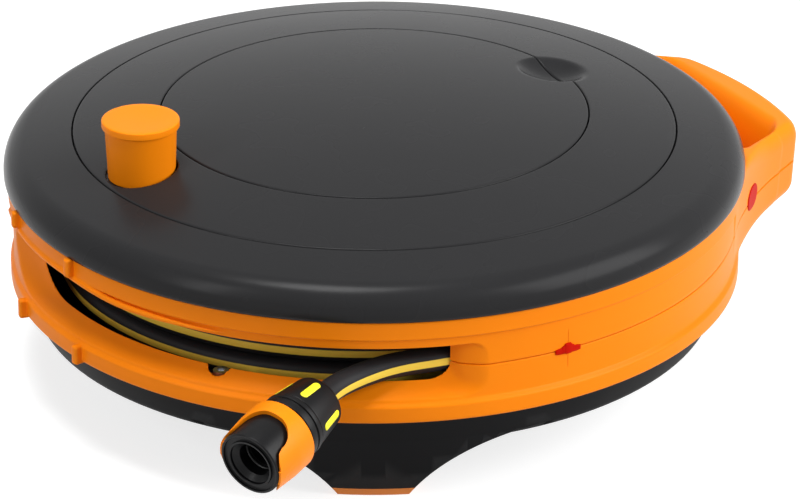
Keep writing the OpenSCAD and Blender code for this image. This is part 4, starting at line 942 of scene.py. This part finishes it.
# The cover: a shallow black dome moulded in three parts with a satin grain. A fixed outer ring rolls over
# the casing, the middle ring is the crank disc that turns the drum, and the lid in the centre lifts off. A
# finger dish is scooped across the lid's seam.
DOME_TOP, DOME_R, RIM_R, ROLL_R, SHELL = 148.2, 855.0, 195.0, 14.5, 3.0
DISC_R, LID_R, SEAM_HALF = 158.6, 112.5, 0.3
LEDGE_Z, LEDGE_THICK, WALL_THICK = 131.57, 3.5, 2.7
DISH_BALL, DISH_Z = 31.52, 166.29
KNOB_X, KNOB_SEAT_Z, POCKET_R, STEM_BORE_R, POST_R, POST_FOOT = -137.0, 133.05, 18.5, 6.08, 9.5, 119.05
SKIRT_FOOT, LEDGE_IN_R, DISH_BACK_R, DISH_BACK_Z = 125.5, 101.8, 20.5, 129.0
cover_black = plastic("cover_plastic", (0.0195, 0.0195, 0.0205), 0.27, pit=0.5, bump=0.045, cloud=0.04,
                      edge_highlight=0.12, level=0.075)


def dome_z(r):
    return DOME_TOP - DOME_R + np.sqrt(DOME_R ** 2 - np.asarray(r, float) ** 2)


def rim_outline():
    """The fixed ring's section: seam edge, dome, rolled edge, the drop to the casing, and the inside."""
    inner, foot_z, land_r, land_z = DISC_R + SEAM_HALF, 125.4, 179.0, 113.0
    reach = math.sqrt((DOME_R - ROLL_R) ** 2 - (RIM_R - ROLL_R) ** 2)
    centre = (RIM_R - ROLL_R, DOME_TOP - DOME_R + reach)
    tilt = math.atan2(reach, centre[0])
    meet = centre[0] * DOME_R / (DOME_R - ROLL_R)

    def roll(radius, turns):
        return [(centre[0] + radius * math.cos(a), centre[1] + radius * math.sin(a)) for a in turns]

    seam_z = dome_z(inner)
    line = [(inner, seam_z - 0.7), (inner + 0.12, seam_z - 0.3), (inner + 0.4, seam_z - 0.08)]
    line += [(r, float(dome_z(r))) for r in np.linspace(inner + 0.9, meet, 16)]
    line += roll(ROLL_R, np.linspace(tilt, 0.0, 24)[1:])
    line += [(RIM_R, 112.4), (RIM_R - 0.3, 111.3), (RIM_R - 1.2, 110.1), (RIM_R - 1.5, TOP_Z),
             (land_r, TOP_Z), (land_r, land_z), (RIM_R - 4.4, land_z)]
    line += roll(ROLL_R - SHELL, np.linspace(0.0, tilt, 10))
    line += [(r, float(dome_z(r)) - SHELL) for r in np.linspace(meet - 0.6, inner + 3.4, 8)]
    return line + [(inner + 3.0, foot_z), (inner, foot_z)]


cover_ring = shaped("cover_outer_ring", *turned(rim_outline(), 360), cover_black)


def disc_form(a, r, z):
    """The crank disc: a ring of the dome with skirts, the lid's ledge, the knob's cup and half the dish."""
    x, y = r * np.cos(np.radians(a)), r * np.sin(np.radians(a))
    inner, outer = LID_R + SEAM_HALF, DISC_R - SEAM_HALF
    above, edges = z - dome_z(r), between(r, inner, outer)
    past_wall = r - inner - WALL_THICK
    dish, knob = np.hypot(x - LID_R, y), np.hypot(x - KNOB_X, y)
    shell = np.maximum(above, -SHELL - above)
    skirt = shared(outer - SHELL - r, SKIRT_FOOT - z, above)
    wall = shared(past_wall, LEDGE_Z - LEDGE_THICK - z, above)
    plug = shared(dish - DISH_BACK_R, DISH_BACK_Z - z, above)
    cup = shared(knob - (POCKET_R + SHELL), KNOB_SEAT_Z - SHELL - z, above)
    whole = eased(functools.reduce(np.minimum, (shell, skirt, wall, plug, cup)), edges, 1.0)
    ledge = shared(LEDGE_IN_R - r, past_wall, LEDGE_Z - LEDGE_THICK - z, z - LEDGE_Z)
    post = np.maximum(knob - POST_R, between(z, POST_FOOT, KNOB_SEAT_Z))
    whole = np.minimum(np.minimum(whole, ledge), post)
    whole = eased(whole, DISH_BALL - np.sqrt(dish ** 2 + (z - DISH_Z) ** 2), 1.4)
    pocket = np.maximum(knob - POCKET_R, KNOB_SEAT_Z - z)
    return np.maximum(eased(whole, -pocket, 0.8), STEM_BORE_R - knob)


crank_ring = moulded(
    "crank_ring", disc_form,
    spaced((-11, 11, 0.35), (11, 170.5, 1.35), (170.5, 189.5, 0.35), (189.5, 348, 1.35)),
    spaced((101, 103, 0.5), (103, 112, 1.5), (112, 116.4, 0.3), (116.4, 154.4, 1.15), (154.4, 159, 0.3)),
    spaced((118.2, 120, 0.6), (120, 124.8, 1.2), (124.8, 126, 0.4), (126, 127.6, 0.8), (127.6, 129.6, 0.4),
           (129.6, 141.6, 0.6)), cover_black)


def lid_top(x, y):
    """Height of the lid's surface: the dome, with the ball of the dish taken out over a softened edge."""
    r = np.hypot(x, y)
    reach = np.maximum(DISH_BALL ** 2 - (x - LID_R) ** 2 - y ** 2, 0.0)
    scoop = np.where(reach > 0.0, DISH_Z - np.sqrt(reach), 1000.0)
    return merged(dome_z(r), scoop, 1.0)


def lid_points():
    """The lid as a closed shell on a fine polar grid, finest where the dish is."""
    edge = LID_R - SEAM_HALF
    angles = np.radians(spaced((-11, 11, 0.25), (11, 349, 1.3)))[:-1]
    top = [*np.linspace(0.0, 84.0, 22), *np.arange(85.2, edge - 0.9, 0.9), edge - 0.9, edge - 0.45]
    under, rib, deep_rib = (-2.8, 0.0), (0.0, LEDGE_Z), (0.0, LEDGE_Z - 4.0)
    rows = [(r, 0.0, 0.0) for r in top] + [(edge - 0.13, -0.25, 0.0), (edge, -0.7, 0.0)]
    rows += [(r, *under) for r in (edge, edge - 1.0, 108.0, 104.9)]
    rows += [(104.8, *rib), (103.2, *rib), (103.1, *under)]
    rows += [(98.8, *under), (98.7, *deep_rib), (96.5, *deep_rib), (96.4, *under)]
    rows += [(r, *under) for r in np.linspace(93.0, 0.0, 16)]
    points = []
    for r, drop, fixed in rows:
        x, y = r * np.cos(angles), r * np.sin(angles)
        z = np.full(len(angles), fixed) if fixed else lid_top(x, y) + drop
        points.append(np.stack([x, y, z], axis=1))
    return np.concatenate(points), ring_faces(len(rows), len(angles), closed=False)


lid = shaped("lift_off_lid", *lid_points(), cover_black, sharp=50.0)
for piece, body, node in ((cover_ring, "casing", "cover_rim"), (crank_ring, "drum", "crank_disc"),
                          (lid, "accessory_lid", "accessory_lid")):
    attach(piece, body)
    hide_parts(node)
fair_copy("compartment_bowl", "storage_bowl", drum_black, "drum")
fair_copy("hose_tail", "inner_hose_end", hose_rubber, "drum")

# The crank knob: a hollow orange cap on a stem, turned freely by the hand. Its body narrows a little
# downwards under a proud lip, and its top is slightly crowned. A screw and washer hold the stem from below.
knob_orange = plastic("knob_plastic", (0.93, 0.245, 0.003), 0.42, pit=0.35, bump=0.05, cloud=0.03, edge_highlight=0.2,
                      level=0.09)
KNOB_TOP, KNOB_FOOT, KNOB_ROOF, STEM_FOOT, SCREW_TOP = 165.15, 133.35, 161.8, 118.65, 140.0
crown_end = (17.0, KNOB_TOP)
crown = [(0.0, KNOB_TOP - 0.45), (4.0, KNOB_TOP - 0.43), (8.0, KNOB_TOP - 0.36), (12.0, KNOB_TOP - 0.25),
         (15.5, KNOB_TOP - 0.1)]
knob_side = rounded([
    (*crown_end, 0.01), (19.95, KNOB_TOP, 0.7), (20.0, 161.4, 0.6), (18.45, 160.8, 0.5),
    (17.25, KNOB_FOOT, 0.5), (14.6, KNOB_FOOT, 0.2), (14.6, KNOB_ROOF, 0.8)], 6).tolist()
knob_outline = crown + [point for point in knob_side if math.dist(point, crown_end) > 0.5]
knob_outline += [(8.4, KNOB_ROOF), (8.4, KNOB_FOOT), (6.0, KNOB_FOOT), (6.0, STEM_FOOT), (1.6, STEM_FOOT),
                 (1.6, SCREW_TOP), (0.0, SCREW_TOP)]
knob_points, knob_faces = turned(knob_outline, 128)
crank_knob = shaped("crank_knob", knob_points + (KNOB_X, 0.0, 0.0), knob_faces, knob_orange)
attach(crank_knob, "knob")
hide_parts("knob")

# The clips: red nylon latches pressed into pockets across the casing's seam, one on each side, and an oval
# one at each root of the handle.
clip_red = plastic("clip_plastic", (0.52, 0.008, 0.002), 0.45, pit=0.3, bump=0.05, cloud=0.05, level=0.03)


def latch_block(angle, across, high, out, z):
    """A block with rounded edges across the seam at a polar angle, standing a little out of the wall."""
    turn = math.radians(angle)
    inner, around, square = 186.6, 16, 1.04
    rows = ((0.0, inner), (0.0, out - 0.5), (0.15, out - 0.15), (0.5, out))
    points = []
    for inset, r in rows:
        half, tall = across / 2 - inset, high / 2 - inset
        for k in range(around):
            a = 2 * math.pi * (k + 0.5) / around
            flat = max(abs(math.cos(a)), abs(math.sin(a)))
            u = half * max(-1.0, min(1.0, math.cos(a) / flat * square))
            v = tall * max(-1.0, min(1.0, math.sin(a) / flat * square))
            points.append((r * math.cos(turn) - u * math.sin(turn), r * math.sin(turn) + u * math.cos(turn),
                           z + v))
    return points, ring_faces(len(rows), around)


def oval_latch(side):
    """The oval latch in the hollow outer face at one root of the handle, a hair proud of it."""
    half, tall, middle_z, middle_angle, around = 1.2, 7.1, 84.2, 230.6, 40
    turns = np.arange(around) * 2 * math.pi / around
    rows = ((0.0, -4.4), (0.0, 0.15), (0.12, 0.34), (0.5, 0.48), (1.6, 0.52), (4.0, 0.5))
    points = []
    for inset, proud in rows:
        radius = tall - inset
        u = radius * np.cos(turns) + np.where(np.cos(turns) > 0, half, -half)
        z = middle_z + radius * np.sin(turns)
        at = math.radians(middle_angle) + u / HOLLOW_R
        reach = HOLLOW_R - proud - HANDLE_LEAN * (z - SEAM_Z)
        points.append(np.stack([HOLLOW_X + reach * np.cos(at), side * (HOLLOW_Y + reach * np.sin(at)), z],
                               axis=1))
    return np.concatenate(points), ring_faces(len(rows), around)


def gathered(name, parts, look, body, node, sharp=40.0):
    """One piece from several closed shapes."""
    points, faces = [], []
    for shape_points, shape_faces in parts:
        faces += [[n + len(points) for n in face] for face in shape_faces]
        points += [tuple(p) for p in shape_points]
    piece = in_scene(name, closed_mesh(name, points, faces))
    smoothed(piece.data, sharp)
    piece.data.materials.append(look)
    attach(piece, body)
    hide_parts(node)


side_parts = []
for side_angle in (-89.5, 89.5):
    side_parts += [latch_block(side_angle, 14.6, 3.3, 191.75, 81.6),
                   latch_block(side_angle, 4.4, 5.6, 192.2, 82.6),
                   latch_block(side_angle, 7.4, 4.2, 191.95, 82.2)]
gathered("side_latches", side_parts, clip_red, "casing", "side_clips")
gathered("handle_latches", [oval_latch(-1.0), oval_latch(1.0)], clip_red, "casing", "handle_clips")

# What is left: washers, seals, the brass bush, the swivel elbow, the hose's clamp and the steel screws.
# They show the CAD's own shapes.
bush_brass = plastic("bush_brass", (0.62, 0.42, 0.14), 0.28, pit=0.3, bump=0.04, metal=1.0)
dressed((("thrust_washer", fitting_black), ("spindle_seals", seal_rubber), ("inlet_seal", seal_rubber),
         ("drum_bush", bush_brass), ("outlet_elbow", fitting_black)))
dressed((name, spring_steel) for name in (
    "spindle_clip", "hose_clamp", "knob_washer", "knob_screw", "casing_screws", "cover_screws",
    "crank_screws", "drum_screws", "inlet_screws"))
